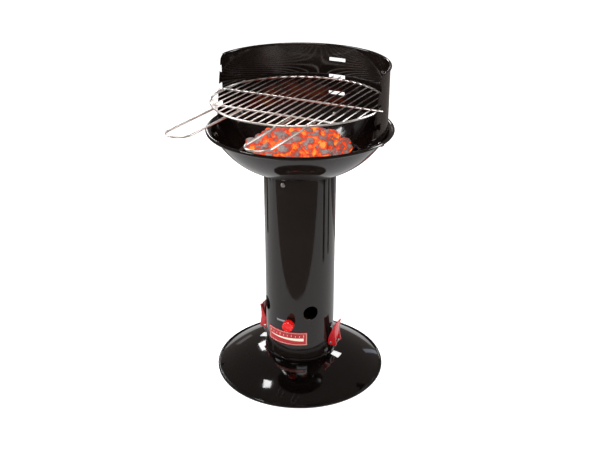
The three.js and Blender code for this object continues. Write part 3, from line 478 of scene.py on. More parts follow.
def wire(build, points, radius, sides=14, round_ends=True):
    """A round wire along a line of points, its ends rounded over."""
    tangents = []
    for i, point in enumerate(points):
        before = (point - points[i - 1]).normalized() if i else None
        after = (points[i + 1] - point).normalized() if i < len(points) - 1 else None
        tangents.append(((before or after) + (after or before)).normalized())
    start = Vector((0, 0, 1)) if abs(tangents[0].z) < 0.8 else Vector((1, 0, 0))
    side = (start - tangents[0] * start.dot(tangents[0])).normalized()
    stations = []
    for point, tangent in zip(points, tangents):
        side = (side - tangent * side.dot(tangent)).normalized()
        stations.append((point, tangent, side, 1.0))
    if round_ends:
        first, last = stations[0], stations[-1]
        caps = [(math.sin(a), math.cos(a)) for a in (math.pi / 8, math.pi / 4, 3 * math.pi / 8)]
        for push, share in caps:
            stations.insert(0, (first[0] - first[1] * radius * push * 0.6, first[1], first[2], share))
            stations.append((last[0] + last[1] * radius * push * 0.6, last[1], last[2], share))
    rings = []
    for point, tangent, across, share in stations:
        other = tangent.cross(across)
        spots = circle(radius * share, sides)
        rings.append([build.verts.new(point + across * spot.x + other * spot.y) for spot in spots])
    skin(build, rings)
    build.faces.new(rings[0][::-1])
    build.faces.new(rings[-1])


def blob(build, centre, size, steps=10):
    """A weld bead: a squashed ball."""
    turn_profile(
        build,
        [v2(math.sin(math.pi * i / steps), -math.cos(math.pi * i / steps)) for i in range(steps + 1)],
        14,
        Matrix.Translation(centre) @ Matrix.Diagonal((*size, 1.0)),
    )


def wrapped_sheet(build, outer, holes, radius, thickness, strip=1.5):
    """Bends a flat sheet, given as (distance round from the front, height) loops, into a round wall.

    The loops are given at the outer radius, and the wall is as thick as said inside it.
    """
    loops = [[Vector((p.x, p.y, 0)) for p in loop] for loop in (outer, *holes)]
    flat = [build.verts.new(p) for loop in loops for p in loop]
    build.verts.ensure_lookup_table()
    for triangle in tessellate_polygon(loops):
        build.faces.new([flat[i] for i in triangle])
    step = math.radians(strip) * radius
    low = min(p.x for p in outer)
    high = max(p.x for p in outer)
    for i in range(math.ceil(low / step), math.floor(high / step) + 1):
        everything = build.verts[:] + build.edges[:] + build.faces[:]
        cut = {"plane_co": (i * step, 0, 0), "plane_no": (1, 0, 0)}
        bmesh.ops.bisect_plane(build, geom=everything, dist=1e-7, **cut)
    bmesh.ops.dissolve_degenerate(build, dist=1e-7, edges=build.edges)
    for vertex in build.verts:
        angle = vertex.co.x / radius
        vertex.co = Vector((radius * math.sin(angle), -radius * math.cos(angle), vertex.co.y))
    bmesh.ops.remove_doubles(build, verts=build.verts, dist=1e-6)
    thicken(build, lambda p: Vector((p.x, p.y, 0)) * (1 - thickness / radius) + Vector((0, 0, p.z)))


def thicken(build, inner):
    """Gives an open surface a second side, where inner says each point goes, and closes its edges."""
    faces = build.faces[:]
    edges = [edge for edge in build.edges if edge.is_boundary]
    twins = {vertex: build.verts.new(inner(vertex.co)) for vertex in build.verts[:]}
    for face in faces:
        build.faces.new([twins[vertex] for vertex in reversed(face.verts[:])])
    for edge in edges:
        one, two = edge.verts
        build.faces.new((one, two, twins[two], twins[one]))


def circle_loop(centre, radius, steps=48):
    return [centre + spot for spot in circle(radius, steps)]


def box_loop(low, high, radius=0.0):
    corners = [Vector(low), v2(high[0], low[1]), Vector(high), v2(low[0], high[1])]
    return soften(corners, radius, 5, closed=True) if radius else corners


def round_hole(angle, height, radius, wall):
    """A round radial hole, drawn on the flat sheet that the wall is bent from."""
    turn = (angle + 180) % 360 - 180
    loop = []
    for point in circle_loop(v2(0, 0), radius):
        loop.append(Vector((math.radians(turn) * wall + math.asin(point.x / wall) * wall, height + point.y)))
    return loop


def extruded(build, outline, low, high, matrix=None, bevel=0.0, segments=2):
    """Pushes an outline of (x, z) points from y = low to y = high and rounds its long edges."""
    part = bmesh.new()
    front = [part.verts.new((p.x, low, p.y)) for p in outline]
    back = [part.verts.new((p.x, high, p.y)) for p in outline]
    part.faces.new(front)
    part.faces.new(back[::-1])
    for i in range(len(outline)):
        k = (i + 1) % len(outline)
        part.faces.new((front[i], back[i], back[k], front[k]))
    bmesh.ops.recalc_face_normals(part, faces=part.faces)
    if bevel:
        rims = [e for e in part.edges if abs(e.verts[0].co.y - e.verts[1].co.y) < 1e-9]
        bmesh.ops.bevel(part, geom=rims, offset=bevel, segments=segments, profile=0.5, affect="EDGES")
    if matrix is not None:
        bmesh.ops.transform(part, matrix=matrix, verts=part.verts)
    merge(build, part)


def merge(build, part):
    scratch = bpy.data.meshes.new("scratch")
    part.to_mesh(scratch)
    part.free()
    build.from_mesh(scratch)
    bpy.data.meshes.remove(scratch)


# ---------------------------------------------------------------- base
DOME_CURVE = (
    v2(COLLAR_RADIUS, CROWN_HEIGHT),
    v2((COLLAR_RADIUS + BASE_RADIUS) / 2 - 0.003, CROWN_HEIGHT - 0.007),
    v2(BASE_RADIUS - BASE_BEAD * 2, BASE_BEAD + 0.002),
)
WINDOW_IN = HOOK_OUT + HOOK_SHEET / 2 + 0.0004
WINDOW_OUT = WINDOW_IN + HOOK_HOLE


def dome_at(radius):
    """The height of the dome's middle line at a radius."""
    low, high = 0.0, 1.0
    for _ in range(40):
        middle = (low + high) / 2
        short = on_curve(*DOME_CURVE, middle).x < radius
        low, high = (middle, high) if short else (low, middle)
    return on_curve(*DOME_CURVE, low).y


def base_plate():
    radii = {COLLAR_RADIUS, WINDOW_IN, WINDOW_OUT, DOME_CURVE[2].x}
    count = 40
    radii |= {COLLAR_RADIUS + (DOME_CURVE[2].x - COLLAR_RADIUS) * i / count for i in range(count)}
    dome = [v2(r, dome_at(r)) for r in sorted(radii)]
    line = [v2(SPIGOT_RADIUS, SPIGOT_TOP), v2(SPIGOT_RADIUS, COLLAR_TOP), v2(COLLAR_RADIUS, COLLAR_TOP)]
    line = soften(line + [dome[0]], 0.0012, 4)[:-1] + dome
    line.append(v2(BASE_RADIUS - BASE_BEAD, BASE_BEAD))
    normals = normals_along(line)
    half_angle = math.degrees(math.asin(HOOK_HOLE / 2 / ((WINDOW_IN + WINDOW_OUT) / 2)))
    side_angles = {90 - half_angle, 90 + half_angle, 270 - half_angle, 270 + half_angle}
    angles = sorted(side_angles | {360 * i / ROUND_STEPS for i in range(ROUND_STEPS)})
    build = bmesh.new()
    tops, unders = [], []
    for angle in angles:
        pairs = [(p + n * SHEET / 2, p - n * SHEET / 2) for p, n in zip(line, normals)]
        tops.append([build.verts.new(polar(angle, a.x, a.y)) for a, _ in pairs])
        unders.append([build.verts.new(polar(angle, b.x, b.y)) for _, b in pairs])

    def missing(i, j):
        """Whether the cell is past the line's ends or in one of the hooks' windows."""
        if not 0 <= j < len(line) - 1:
            return True
        middle = (angles[i] + (angles[(i + 1) % len(angles)] or 360)) / 2
        radius = (line[j].x + line[j + 1].x) / 2
        beside = min(abs(middle - 90), abs(middle - 270)) < half_angle
        return beside and WINDOW_IN < radius < WINDOW_OUT and line[j].y < CROWN_HEIGHT + 1e-6

    count = len(angles)
    for i in range(count):
        k = (i + 1) % count
        for j in range(len(line) - 1):
            if missing(i, j):
                continue
            a, b, c, d = (i, j), (k, j), (k, j + 1), (i, j + 1)
            build.faces.new([tops[m][n] for m, n in (a, b, c, d)])
            build.faces.new([unders[m][n] for m, n in (d, c, b, a)])
            sides = ((a, b, i, j - 1), (c, d, i, j + 1), (d, a, (i - 1) % count, j), (b, c, k, j))
            for (m, n), (u, v), *beside in sides:
                if missing(*beside):
                    build.faces.new((tops[m][n], unders[m][n], unders[u][v], tops[u][v]))
    ring_wire(build, BASE_RADIUS - BASE_BEAD, BASE_BEAD, BASE_BEAD, sides=24)
    for side in (0, math.pi):
        hook(build, Matrix.Rotation(side, 4, "Z"))
    piece("enamelled_base", build, ENAMEL, "stand", ["base_plate"])


def hook(build, matrix):
    """The lanced hook that the latch's wire pulls up on."""
    arch = COLUMN_FOOT + 0.005 + 0.002 + 0.0006 + HOOK_SHEET / 2
    lip = HOOK_OUT + 0.0048 + 0.002 + 0.001 + HOOK_SHEET / 2
    line = [
        v2(HOOK_OUT, CROWN_HEIGHT - SHEET / 2),
        v2(HOOK_OUT, arch),
        v2(lip, arch),
        v2(lip, arch - 0.0022),
    ]
    outline = sheet_outline(soften(line, 0.0018, 5), HOOK_SHEET)
    extruded(build, outline, -HOOK_HALF_WIDTH, HOOK_HALF_WIDTH, matrix, bevel=0.0003)


def ash_pan():
    low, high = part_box("ash_pan")
    wall = SPIGOT_RADIUS - SHEET / 2 - 0.009
    rim = high.z - SHEET / 2
    line = [
        v2(SPIGOT_RADIUS, rim),
        v2(wall, rim),
        v2(wall, 0.026),
        v2(wall - 0.002, 0.014),
        v2(wall - 0.0103, 0.003),
        v2(wall - 0.0133, SHEET / 2),
        v2(0.02, SHEET / 2),
    ]
    outline = sheet_outline(soften(line, 0.003, 5), SHEET)
    half = len(outline) // 2
    upper = [v2(0, SHEET)] + list(reversed(outline[:half]))
    lower = list(reversed(outline[half:])) + [v2(0, 0)]
    build = bmesh.new()
    turn_profile(build, upper + lower[:-1] + [v2(0, low.z)], 96)
    piece("drawn_ash_pan", build, GALVANISED, "stand", ["ash_pan"])


# ---------------------------------------------------------------- column and damper
def full_turn(radius, low, high):
    half = math.pi * radius
    return [v2(-half, low), v2(half, low), v2(half, high), v2(-half, high)]


def slot_loop(radius):
    """The knob's slot, with round ends."""
    end = math.radians(SLOT_HALF_ANGLE) * radius
    half = SLOT_HALF_HEIGHT
    turns = np.linspace(-math.pi / 2, math.pi / 2, 13)
    bend = [v2(end + half * math.cos(turn), half * math.sin(turn)) for turn in turns]
    return [v2(0, SLOT_HEIGHT) + point for point in bend] + [v2(0, SLOT_HEIGHT) - point for point in bend]


def column():
    holes = [round_hole(a, AIR_HOLE_HEIGHT, AIR_HOLE_RADIUS, COLUMN_RADIUS) for a in AIR_HOLE_ANGLES]
    holes.append(slot_loop(COLUMN_RADIUS))
    holes += [round_hole(a, COLUMN_SCREW_HEIGHT, SCREW_HOLE, COLUMN_RADIUS) for a in COLUMN_SCREW_ANGLES]
    build = bmesh.new()
    wrapped_sheet(build, full_turn(COLUMN_RADIUS, COLUMN_FOOT, COLUMN_TOP), holes, COLUMN_RADIUS, SHEET)
    piece("enamelled_column", build, ENAMEL, "stand", ["column_tube"])


def damper():
    low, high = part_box("damper_ring")
    radius = high.x
    reach = math.degrees(math.asin(AIR_HOLE_RADIUS / COLUMN_RADIUS))
    arc = math.radians(1) * radius
    windows = []
    for angle in AIR_HOLE_ANGLES:
        turn = (angle + 180) % 360 - 180
        corner_low = ((turn - reach - 5) * arc, AIR_HOLE_HEIGHT - AIR_HOLE_RADIUS - 0.0005)
        corner_high = ((turn + reach) * arc, AIR_HOLE_HEIGHT + AIR_HOLE_RADIUS + 0.0005)
        windows.append(box_loop(corner_low, corner_high, 0.003))
    build = bmesh.new()
    wrapped_sheet(build, full_turn(radius, low.z, high.z), windows, radius, 0.001)
    piece("damper_sleeve", build, GALVANISED, "damper", ["damper_ring"])


def knob():
    """A ribbed knob: its radius follows a profile, and the ribs fade out on its face."""
    depth = 0.019
    radius = 0.0143
    profile = [
        (0.0, 0.0, 0.0),
        (0.55, 0.0, 0.0),
        (0.80, 0.0002, 0.3),
        (0.94, 0.0012, 0.8),
        (1.0, 0.0035, 1.0),
        (0.985, 0.0100, 1.0),
        (0.965, 0.0155, 1.0),
        (0.93, 0.0178, 0.9),
        (0.86, 0.0187, 0.6),
        (0.76, depth, 0.2),
        (0.64, 0.0189, 0.0),
        (0.58, 0.0180, 0.0),
        (0.50, 0.0174, 0.0),
        (0.25, 0.0172, 0.0),
        (0.0, 0.0172, 0.0),
    ]
    matrix = facing(KNOB_ANGLE, SLOT_HEIGHT, COLUMN_RADIUS + KNOB_FACE)
    steps = 144
    ribs = 12
    build = bmesh.new()
    rings = []
    for share, rise, ribbing in profile:
        if share == 0.0:
            rings.append([build.verts.new(matrix @ Vector((0, 0, rise)))])
            continue
        ring = []
        for i in range(steps):
            turn = 2 * math.pi * i / steps
            groove = (0.5 - 0.5 * math.cos(turn * ribs)) ** 2
            r = radius * share * (1 - 0.10 * ribbing * groove)
            ring.append(build.verts.new(matrix @ Vector((r * math.cos(turn), r * math.sin(turn), rise))))
        rings.append(ring)
    skin(build, rings)
    pointer = [v2(-0.0011, 0.001), v2(0.0011, 0.001), v2(0.0009, 0.0096), v2(-0.0009, 0.0096)]
    rise = Matrix(((1, 0, 0, 0), (0, 0, 1, 0), (0, 1, 0, 0), (0, 0, 0, 1)))
    extruded(build, soften(pointer, 0.0007, 3, closed=True), 0.0165, 0.0186, matrix @ rise, bevel=0.0003)
    piece("ribbed_knob", build, RED_KNOB, "damper", ["damper_knob"], sharp=50.0)


PLATE_START, PLATE_END = -34, 39  # degrees from the front


def scale_plate():
    """A red plate with a generic air scale: a tapering wedge and its ticks."""
    low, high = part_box("scale_plate")
    radius = COLUMN_RADIUS + GAP + 0.001
    body = radius - 0.00012
    arc = math.radians(1) * body
    build = bmesh.new()
    outline = box_loop((PLATE_START * arc, low.z), (PLATE_END * arc, high.z), 0.0015)
    wrapped_sheet(build, outline, [], body, 0.00088)
    piece("scale_plate_body", build, RED_PLATE, "stand", ["scale_plate"])
    ink = bmesh.new()
    arc = math.radians(1) * radius
    middle = (low.z + high.z) / 2
    left, right = PLATE_START * arc, PLATE_END * arc
    start, end = left + 6 * arc, right - 6 * arc
    wedge = ((start, -0.0010), (end, -0.0062), (end, 0.0022), (start, 0.0002))
    marks = [[v2(x, middle + rise) for x, rise in wedge]]
    for i in range(10):
        x = start + (end - start) * i / 9
        tall = 0.0062 if i % 3 == 0 else 0.0038
        marks.append(box_loop((x - 0.0005, middle + 0.0052), (x + 0.0005, middle + 0.0052 + tall)))
    border = 0.0022
    outer = box_loop((left + border, low.z + border), (right - border, high.z - border), 0.001)
    inset = border * 1.3
    inner = box_loop((left + inset, low.z + inset), (right - inset, high.z - inset), 0.001)
    for outline, holes in [(mark, []) for mark in marks] + [(outer, [inner])]:
        part = bmesh.new()
        wrapped_sheet(part, outline, holes, radius, 0.00012)
        merge(ink, part)
    piece("scale_plate_print", ink, CREAM, "stand")


# ---------------------------------------------------------------- latches
PIVOT = v2(COLUMN_RADIUS + 0.0083, COLUMN_FOOT + 0.029)
BAIL_PIVOT = v2(PIVOT.x + 0.011, PIVOT.y)
LEVER_LENGTH = 0.061
CHEEK_OUTER = 0.015
CHEEK_INNER = 0.012
CATCH = v2(HOOK_OUT + 0.0048, COLUMN_FOOT + 0.005)


def arc_points(centre, radius, start, end, steps=10):
    return [
        v2(centre.x + radius * math.cos(a), centre.y + radius * math.sin(a))
        for a in np.linspace(start * math.pi, end * math.pi, steps)
    ]


def lever(side, matrix):
    outline = arc_points(PIVOT, 0.008, 1.0, 1.45) + arc_points(BAIL_PIVOT, 0.005, -0.5, 0.1)
    edge = [
        v2(0.0136, 0.012),
        v2(0.0120, 0.024),
        v2(0.0118, LEVER_LENGTH * 0.6),
        v2(0.0130, LEVER_LENGTH * 0.82),
        v2(0.0150, LEVER_LENGTH - 0.002),
        v2(0.0136, LEVER_LENGTH),
        v2(0.0116, LEVER_LENGTH - 0.001),
        v2(0.0075, LEVER_LENGTH * 0.8),
        v2(0.0010, LEVER_LENGTH * 0.55),
        v2(-0.0050, LEVER_LENGTH * 0.33),
        v2(-0.0076, LEVER_LENGTH * 0.12),
    ]
    edge = [outline[-1]] + [PIVOT + corner for corner in edge] + [outline[0]]
    outline += soften(edge, 0.004, 5)[1:-1]
    build = bmesh.new()
    for low, high in ((CHEEK_INNER, CHEEK_OUTER), (-CHEEK_OUTER, -CHEEK_INNER)):
        extruded(build, outline, low, high, matrix, bevel=0.0009, segments=3)
    web = [
        PIVOT + v2(0.0078, 0.0015),
        PIVOT + v2(0.0084, 0.006),
        PIVOT + v2(0.0100, 0.015),
        PIVOT + v2(0.0103, LEVER_LENGTH * 0.6),
        PIVOT + v2(0.0116, LEVER_LENGTH * 0.82),
        PIVOT + v2(0.0132, LEVER_LENGTH - 0.0016),
    ]
    web = sheet_outline(soften(web, 0.006, 5), 0.0024)
    extruded(build, web, -CHEEK_INNER - 0.001, CHEEK_INNER + 0.001, matrix, bevel=0.0002)
    piece(f"lever_{side}", build, RED_LEVER, f"lever_{side}", [f"latch_lever_{side}"])


def bracket(side, matrix):
    back = COLUMN_RADIUS + GAP
    face = back + 0.002
    foot = PIVOT.y - 0.005
    top = foot + 0.051
    half = 0.0105
    build = bmesh.new()
    part = bmesh.new()
    outline = [v2(-half, foot), v2(half, foot), v2(half, top), v2(-half, top)]
    holes = [circle_loop(v2(0, PIVOT.y + rise), 0.0018, 16) for rise in (0.014, 0.038)]
    wrapped_sheet(part, soften(outline, 0.004, 6, closed=True), holes, face, 0.002)
    bmesh.ops.transform(part, matrix=matrix @ Matrix.Rotation(math.pi / 2, 4, "Z"), verts=part.verts)
    merge(build, part)
    ear = [v2(face - 0.001, foot)] + arc_points(PIVOT, 0.0048, -0.5, 0.35, 14)
    ear += [v2(face - 0.001, PIVOT.y + 0.016)]
    for low, high in ((0.0085, half), (-half, -0.0085)):
        extruded(build, ear, low, high, matrix, bevel=0.0004)
    piece(f"bracket_{side}", build, ENAMEL, "stand", [f"latch_bracket_{side}"])


def bail(side, matrix):
    end = CHEEK_OUTER - 0.0012
    half = 0.008
    corners = [
        v3(BAIL_PIVOT.x, -end, BAIL_PIVOT.y),
        v3(BAIL_PIVOT.x, -half, BAIL_PIVOT.y),
        v3(CATCH.x, -half, CATCH.y),
        v3(CATCH.x, half, CATCH.y),
        v3(BAIL_PIVOT.x, half, BAIL_PIVOT.y),
        v3(BAIL_PIVOT.x, end, BAIL_PIVOT.y),
    ]
    build = bmesh.new()
    wire(build, soften(corners, 0.0034, 7), 0.002, sides=18)
    bmesh.ops.transform(build, matrix=matrix, verts=build.verts)
    piece(f"bail_wire_{side}", build, BAIL_CHROME, f"bail_{side}", [f"latch_bail_{side}"])


# ---------------------------------------------------------------- bowl
BOWL_CURVE = (
    v2(BOWL_WALL_RADIUS - SHEET / 2, BOWL_TOP),
    v2(NECK_RADIUS + (BOWL_WALL_RADIUS - NECK_RADIUS) * 0.61, BOWL_FLOOR + 0.016),
    v2(NECK_RADIUS, BOWL_FLOOR),
)


def bowl():
    centre = v2(BOWL_WALL_RADIUS + 0.0106, RIM_HEIGHT - BOWL_BEAD)
    line = [centre, v2(BOWL_WALL_RADIUS + 0.002, BOWL_TOP + 0.0022)]
    wall = curve_points(*BOWL_CURVE, 44)
    line = soften([line[0], line[1], wall[0], wall[2]], 0.003, 6)[:-1] + wall[2:]
    line.append(v2(NECK_RADIUS - COLLAR_FLANGE, BOWL_FLOOR))
    build = bmesh.new()
    turn_outline(build, sheet_outline(line, SHEET))
    ring_wire(build, centre.x, centre.y, BOWL_BEAD, sides=24)
    piece("fire_bowl", build, BOWL_ENAMEL, "stand", ["bowl"])


def bowl_collar():
    """The flanged collar that sits in the column's top, with holes for the column's screws."""
    low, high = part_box("bowl_collar")
    top = high.z - SHEET / 2
    wall = NECK_RADIUS + SHEET / 2
    holes = [round_hole(a, COLUMN_SCREW_HEIGHT, SCREW_HOLE, wall) for a in COLUMN_SCREW_ANGLES]
    build = bmesh.new()
    wrapped_sheet(build, full_turn(wall, low.z, high.z - SHEET), holes, wall, SHEET)
    flange = bmesh.new()
    line = [v2(NECK_RADIUS - COLLAR_FLANGE, top), v2(NECK_RADIUS, top), v2(NECK_RADIUS, top - SHEET)]
    turn_outline(flange, sheet_outline(soften(line, 0.001, 5), SHEET))
    merge(build, flange)
    piece("flanged_collar", build, ENAMEL, "stand", ["bowl_collar"])


# ---------------------------------------------------------------- windscreen
LIFT_SLOPE = math.radians(40)
SCREEN_LEVELS = [GRID_LEVEL - LEVEL_PITCH, GRID_LEVEL, GRID_LEVEL + LEVEL_PITCH]
EDGE_TOP = -0.010
EDGE_BOTTOM = -0.046
EDGE_ROUND = 0.013
SCREEN_SCREW_ANGLES = {"right": 100, "rear": 180, "left": 260}


def edge_at(height):
    """How far forward the screen's front edge stands at a height."""
    return EDGE_BOTTOM + (EDGE_TOP - EDGE_BOTTOM) * (height - SCREEN_BOTTOM) / SCREEN_HEIGHT


def screen_edge():
    """The right-hand front edge from its foot to the top, as (y, height) points."""
    points = [v2(edge_at(SCREEN_BOTTOM), SCREEN_BOTTOM)]
    room = RING_WIRE + GAP
    start = (room - math.cos(LIFT_SLOPE) * room) / math.sin(LIFT_SLOPE)
    end = (room + math.cos(LIFT_SLOPE) * 0.0025) / math.sin(LIFT_SLOPE)
    rear = GRID_MIDDLE + RING_WIRE + 0.001
    for level in SCREEN_LEVELS:
        mouth = level + 0.0145
        lip = level + 0.0025
        corners = [
            v2(edge_at(lip - 0.004), lip - 0.004),
            v2(edge_at(lip), lip),
            v2(GRID_MIDDLE - end, lip),
            v2(GRID_MIDDLE - start, level - room),
            v2(rear, level - room),
            v2(rear, mouth),
            v2(edge_at(mouth), mouth),
            v2(edge_at(mouth + 0.004), mouth + 0.004),
        ]
        points += soften(corners, 0.0012, 4)
    turn = SCREEN_TOP - EDGE_ROUND
    top = SCREEN_TOP - SCREEN_BEAD
    points += curve_points(v2(edge_at(turn), turn), v2(EDGE_TOP, top), v2(EDGE_TOP + EDGE_ROUND, top), 10)
    return points


def windscreen():
    radius = SCREEN_RADIUS
    right = [v2(radius * math.asin(p.x / radius) + radius * math.pi / 2, p.y) for p in screen_edge()]
    right = [v2(p.x - radius * math.pi, p.y) for p in right]  # measured from the rear
    left = [v2(-p.x, p.y) for p in reversed(right)]
    slots = []
    for level in SCREEN_LEVELS:
        middle = level + RING_WIRE + 0.0002
        slots.append(box_loop((-0.022, middle - 0.00425), (0.022, middle + 0.00425), 0.0012))
    build = bmesh.new()
    wrapped_sheet(build, right + left, slots, radius, SCREEN_WALL)
    bmesh.ops.transform(build, matrix=Matrix.Rotation(math.pi, 4, "Z"), verts=build.verts)
    end = math.degrees(math.asin((EDGE_TOP + EDGE_ROUND) / radius)) + 90
    roll = [polar(a, radius + 0.0004, SCREEN_TOP - SCREEN_BEAD) for a in np.linspace(end, 360 - end, 150)]
    wire(build, roll, SCREEN_BEAD, sides=20)
    for angle in SCREEN_SCREW_ANGLES.values():
        screen_tab(build, angle)
    piece("windscreen_sheet", build, ENAMEL, "stand", ["windscreen"])


def screen_tab(build, angle):
    """A strap from the screen down the bowl's inside, held by one screw."""
    wall = curve_points(*BOWL_CURVE, 28)
    offset = SHEET / 2 + GAP + SCREEN_WALL / 2
    normals = normals_along(wall)
    line = [v2(SCREEN_BORE + SCREEN_WALL / 2, SCREEN_BOTTOM + 0.012)]
    line += [p + n * -offset for p, n in zip(wall[:8], normals[:8])]
    half = math.degrees(math.asin(0.012 / SCREEN_RADIUS))
    outline = sheet_outline(line, SCREEN_WALL)
    rings = []
    for turn in np.linspace(angle - half, angle + half, 9):
        rings.append([build.verts.new(polar(turn, p.x, p.y)) for p in outline])
    skin(build, rings)
    build.faces.new(rings[0])
    build.faces.new(rings[-1][::-1])


# ---------------------------------------------------------------- cooking grid
def chord(radius, offset):
    return math.sqrt(radius * radius - offset * offset)


FRONT_BAR = -0.136
HANDLE_WIRE = RING_WIRE


def grid_frame():
    middle = v2(0, GRID_MIDDLE)
    build = bmesh.new()
    ring_wire(build, GRID_RADIUS, GRID_LEVEL, RING_WIRE, middle, 256)
    end = grid_high.x
    bar = chord(GRID_RADIUS, FRONT_BAR - GRID_MIDDLE)
    for half, y in ((end - 0.001, GRID_MIDDLE), (bar, FRONT_BAR)):
        wire(build, [v3(-half, y, GRID_LEVEL), v3(half, y, GRID_LEVEL)], RING_WIRE)
    weld_level = (GRID_LEVEL + RING_WIRE + ROD_LEVEL - ROD_WIRE) / 2
    for i in range(ROD_COUNT):
        x = (i - (ROD_COUNT - 1) / 2) * ROD_PITCH
        half = chord(GRID_RADIUS, x)
        rear = grid_high.y if abs(x) < ROD_PITCH else GRID_MIDDLE + half + RING_WIRE * 0.7
        front = GRID_MIDDLE - half - RING_WIRE * 0.7
        wire(build, [v3(x, front, ROD_LEVEL), v3(x, rear - 0.001, ROD_LEVEL)], ROD_WIRE)
        crossings = [GRID_MIDDLE - half, GRID_MIDDLE + half, GRID_MIDDLE]
        if abs(x) < bar:
            crossings.append(FRONT_BAR)
        for y in crossings:
            blob(build, v3(x, y, weld_level), (0.0026, 0.0026, 0.0016), 8)
    for half, y in ((bar, FRONT_BAR), (GRID_RADIUS, GRID_MIDDLE)):
        for x in (-half, half):
            blob(build, v3(x, y, GRID_LEVEL), (0.0036, 0.0036, 0.0025), 8)
    piece("cooking_grid_wires", build, CHROME, "grid", ["cooking_grid"])


def handle(side):
    low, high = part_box(f"grid_handle_{side}")
    level = (low.z + high.z) / 2
    half = (high.x - low.x) / 2 - HANDLE_WIRE
    centre = (high.x + low.x) / 2
    tip = low.y + HANDLE_WIRE
    points = [v3(centre - half, high.y - 0.0015, level), v3(centre - half, tip + half + 0.03, level)]
    for angle in np.linspace(math.pi, 2 * math.pi, 40):
        points.append(v3(centre + half * math.cos(angle), tip + half + half * math.sin(angle), level))
    points += [v3(centre + half, tip + half + 0.03, level), v3(centre + half, high.y - 0.0015, level)]
    build = bmesh.new()
    wire(build, points, HANDLE_WIRE, sides=18)
    for x in (centre - half, centre + half):
        ring_y = GRID_MIDDLE - chord(GRID_RADIUS, x)
        for y in (ring_y, FRONT_BAR):
            blob(build, v3(x, y, level + HANDLE_WIRE - 0.0004), (0.0034, 0.0034, 0.0009), 8)
    piece(f"handle_wire_{side}", build, CHROME, "grid", [f"grid_handle_{side}"])


# ---------------------------------------------------------------- fire
def fire_grate():
    low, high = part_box("charcoal_grate")
    radius = high.x - RING_WIRE
    level = low.z + RING_WIRE
    rod = 0.002
    build = bmesh.new()
    ring_wire(build, radius, level, RING_WIRE, steps=128)
    for y in (-radius / 2, radius / 2):
        end = chord(radius, y)
        wire(build, [v3(-end, y, level), v3(end, y, level)], RING_WIRE)
    for i in range(16):
        x = (i - 7.5) * 0.018
        end = chord(radius, x) + 0.001
        wire(build, [v3(x, -end, high.z - rod), v3(x, end, high.z - rod)], rod, sides=10)
    piece("fire_grate", build, GRATE, "fire", ["charcoal_grate"])


def lump(build, centre, size, rng, limits):
    """A broken lump of charcoal: a ball cut by random planes, then roughened."""
    radius, low, high = limits
    planes = []
    for _ in range(9):
        direction = Vector((rng.gauss(0, 1), rng.gauss(0, 1), rng.gauss(0, 1))).normalized()
        planes.append((direction, rng.uniform(0.55, 0.92)))
    stretch = Vector((rng.uniform(0.9, 1.45), rng.uniform(0.75, 1.1), rng.uniform(0.65, 0.95)))
    turn = Matrix.Rotation(rng.uniform(0, 2 * math.pi), 3, "Z")
    turn = turn @ Matrix.Rotation(rng.uniform(-0.7, 0.7), 3, "X")
    seed = Vector((rng.uniform(-50, 50), rng.uniform(-50, 50), rng.uniform(-50, 50)))
    part = bmesh.new()
    bmesh.ops.create_icosphere(part, subdivisions=4, radius=1.0)
    for vertex in part.verts:
        direction = vertex.co.normalized()
        reach = 1.0
        for normal, distance in planes:
            toward = direction.dot(normal)
            if toward > 0.05:
                reach = min(reach, distance / toward)
        reach *= 1 + 0.08 * noise.noise(direction * 2.3 + seed) + 0.04 * noise.noise(direction * 7.0 + seed)
        place = turn @ Vector((direction.x * stretch.x, direction.y * stretch.y, direction.z * stretch.z))
        place = centre + place * reach * size
        flat = v2(place.x, place.y)
        if flat.length > radius:
            place.x, place.y = flat * (radius / flat.length)
        place.z = min(max(place.z, low), high)
        vertex.co = place
    everywhere = {"use_axis_x": True, "use_axis_y": True, "use_axis_z": True}
    bmesh.ops.smooth_vert(part, verts=part.verts, factor=0.2, **everywhere)
    merge(build, part)


def charcoal():
    low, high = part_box("charcoal_bed")
    radius = high.x
    rng = random.Random(11)
    build = bmesh.new()
    centres = []
    layers = (
        (radius - 0.015, low.z + 0.010, 0.029),
        (radius - 0.030, low.z + 0.020, 0.030),
        (radius - 0.050, low.z + 0.030, 0.030),
        (radius - 0.078, high.z - 0.011, 0.029),
    )
    for reach, level, spacing in layers:
        placed = []
        for _ in range(2600):
            r = reach * math.sqrt(rng.random())
            a = rng.uniform(0, 2 * math.pi)
            spot = v3(r * math.cos(a), r * math.sin(a), level + rng.uniform(-0.003, 0.003))
            if all((spot - other).length > spacing for other in placed):
                placed.append(spot)
        centres += placed
    for centre in centres:
        size = rng.uniform(0.0155, 0.0210)
        lump(build, centre, size, rng, (radius, low.z, high.z))
    piece("charcoal_lumps", build, CHARCOAL, "fire", ["charcoal_bed"], sharp=60.0)


# ---------------------------------------------------------------- fasteners
def axis_frame(node, along_longest=True):
    """The frame of a turned CAD node: its middle, with +Z along its axis towards its wider end."""
    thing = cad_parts[node]
    points = np.array([thing.matrix_world @ v.co for v in thing.data.vertices])
    centre = points.mean(axis=0)
    _, _, axes = np.linalg.svd(points - centre)
    axis = axes[0] if along_longest else axes[2]
    along = (points - centre) @ axis
    spread = np.linalg.norm((points - centre) - np.outer(along, axis), axis=1)
    middle = (along.min() + along.max()) / 2
    if spread[along > middle].max() < spread[along < middle].max():
        axis, along = -axis, -along
    top = centre + axis * along.max()
    z = Vector(axis)
    x = Vector((0, 0, 1)).cross(z)
    x = x.normalized() if x.length > 0.1 else Vector((1, 0, 0))
    turn = Matrix((x, z.cross(x), z)).transposed().to_4x4()
    return Matrix.Translation(Vector(top)) @ turn, along.max() - along.min()


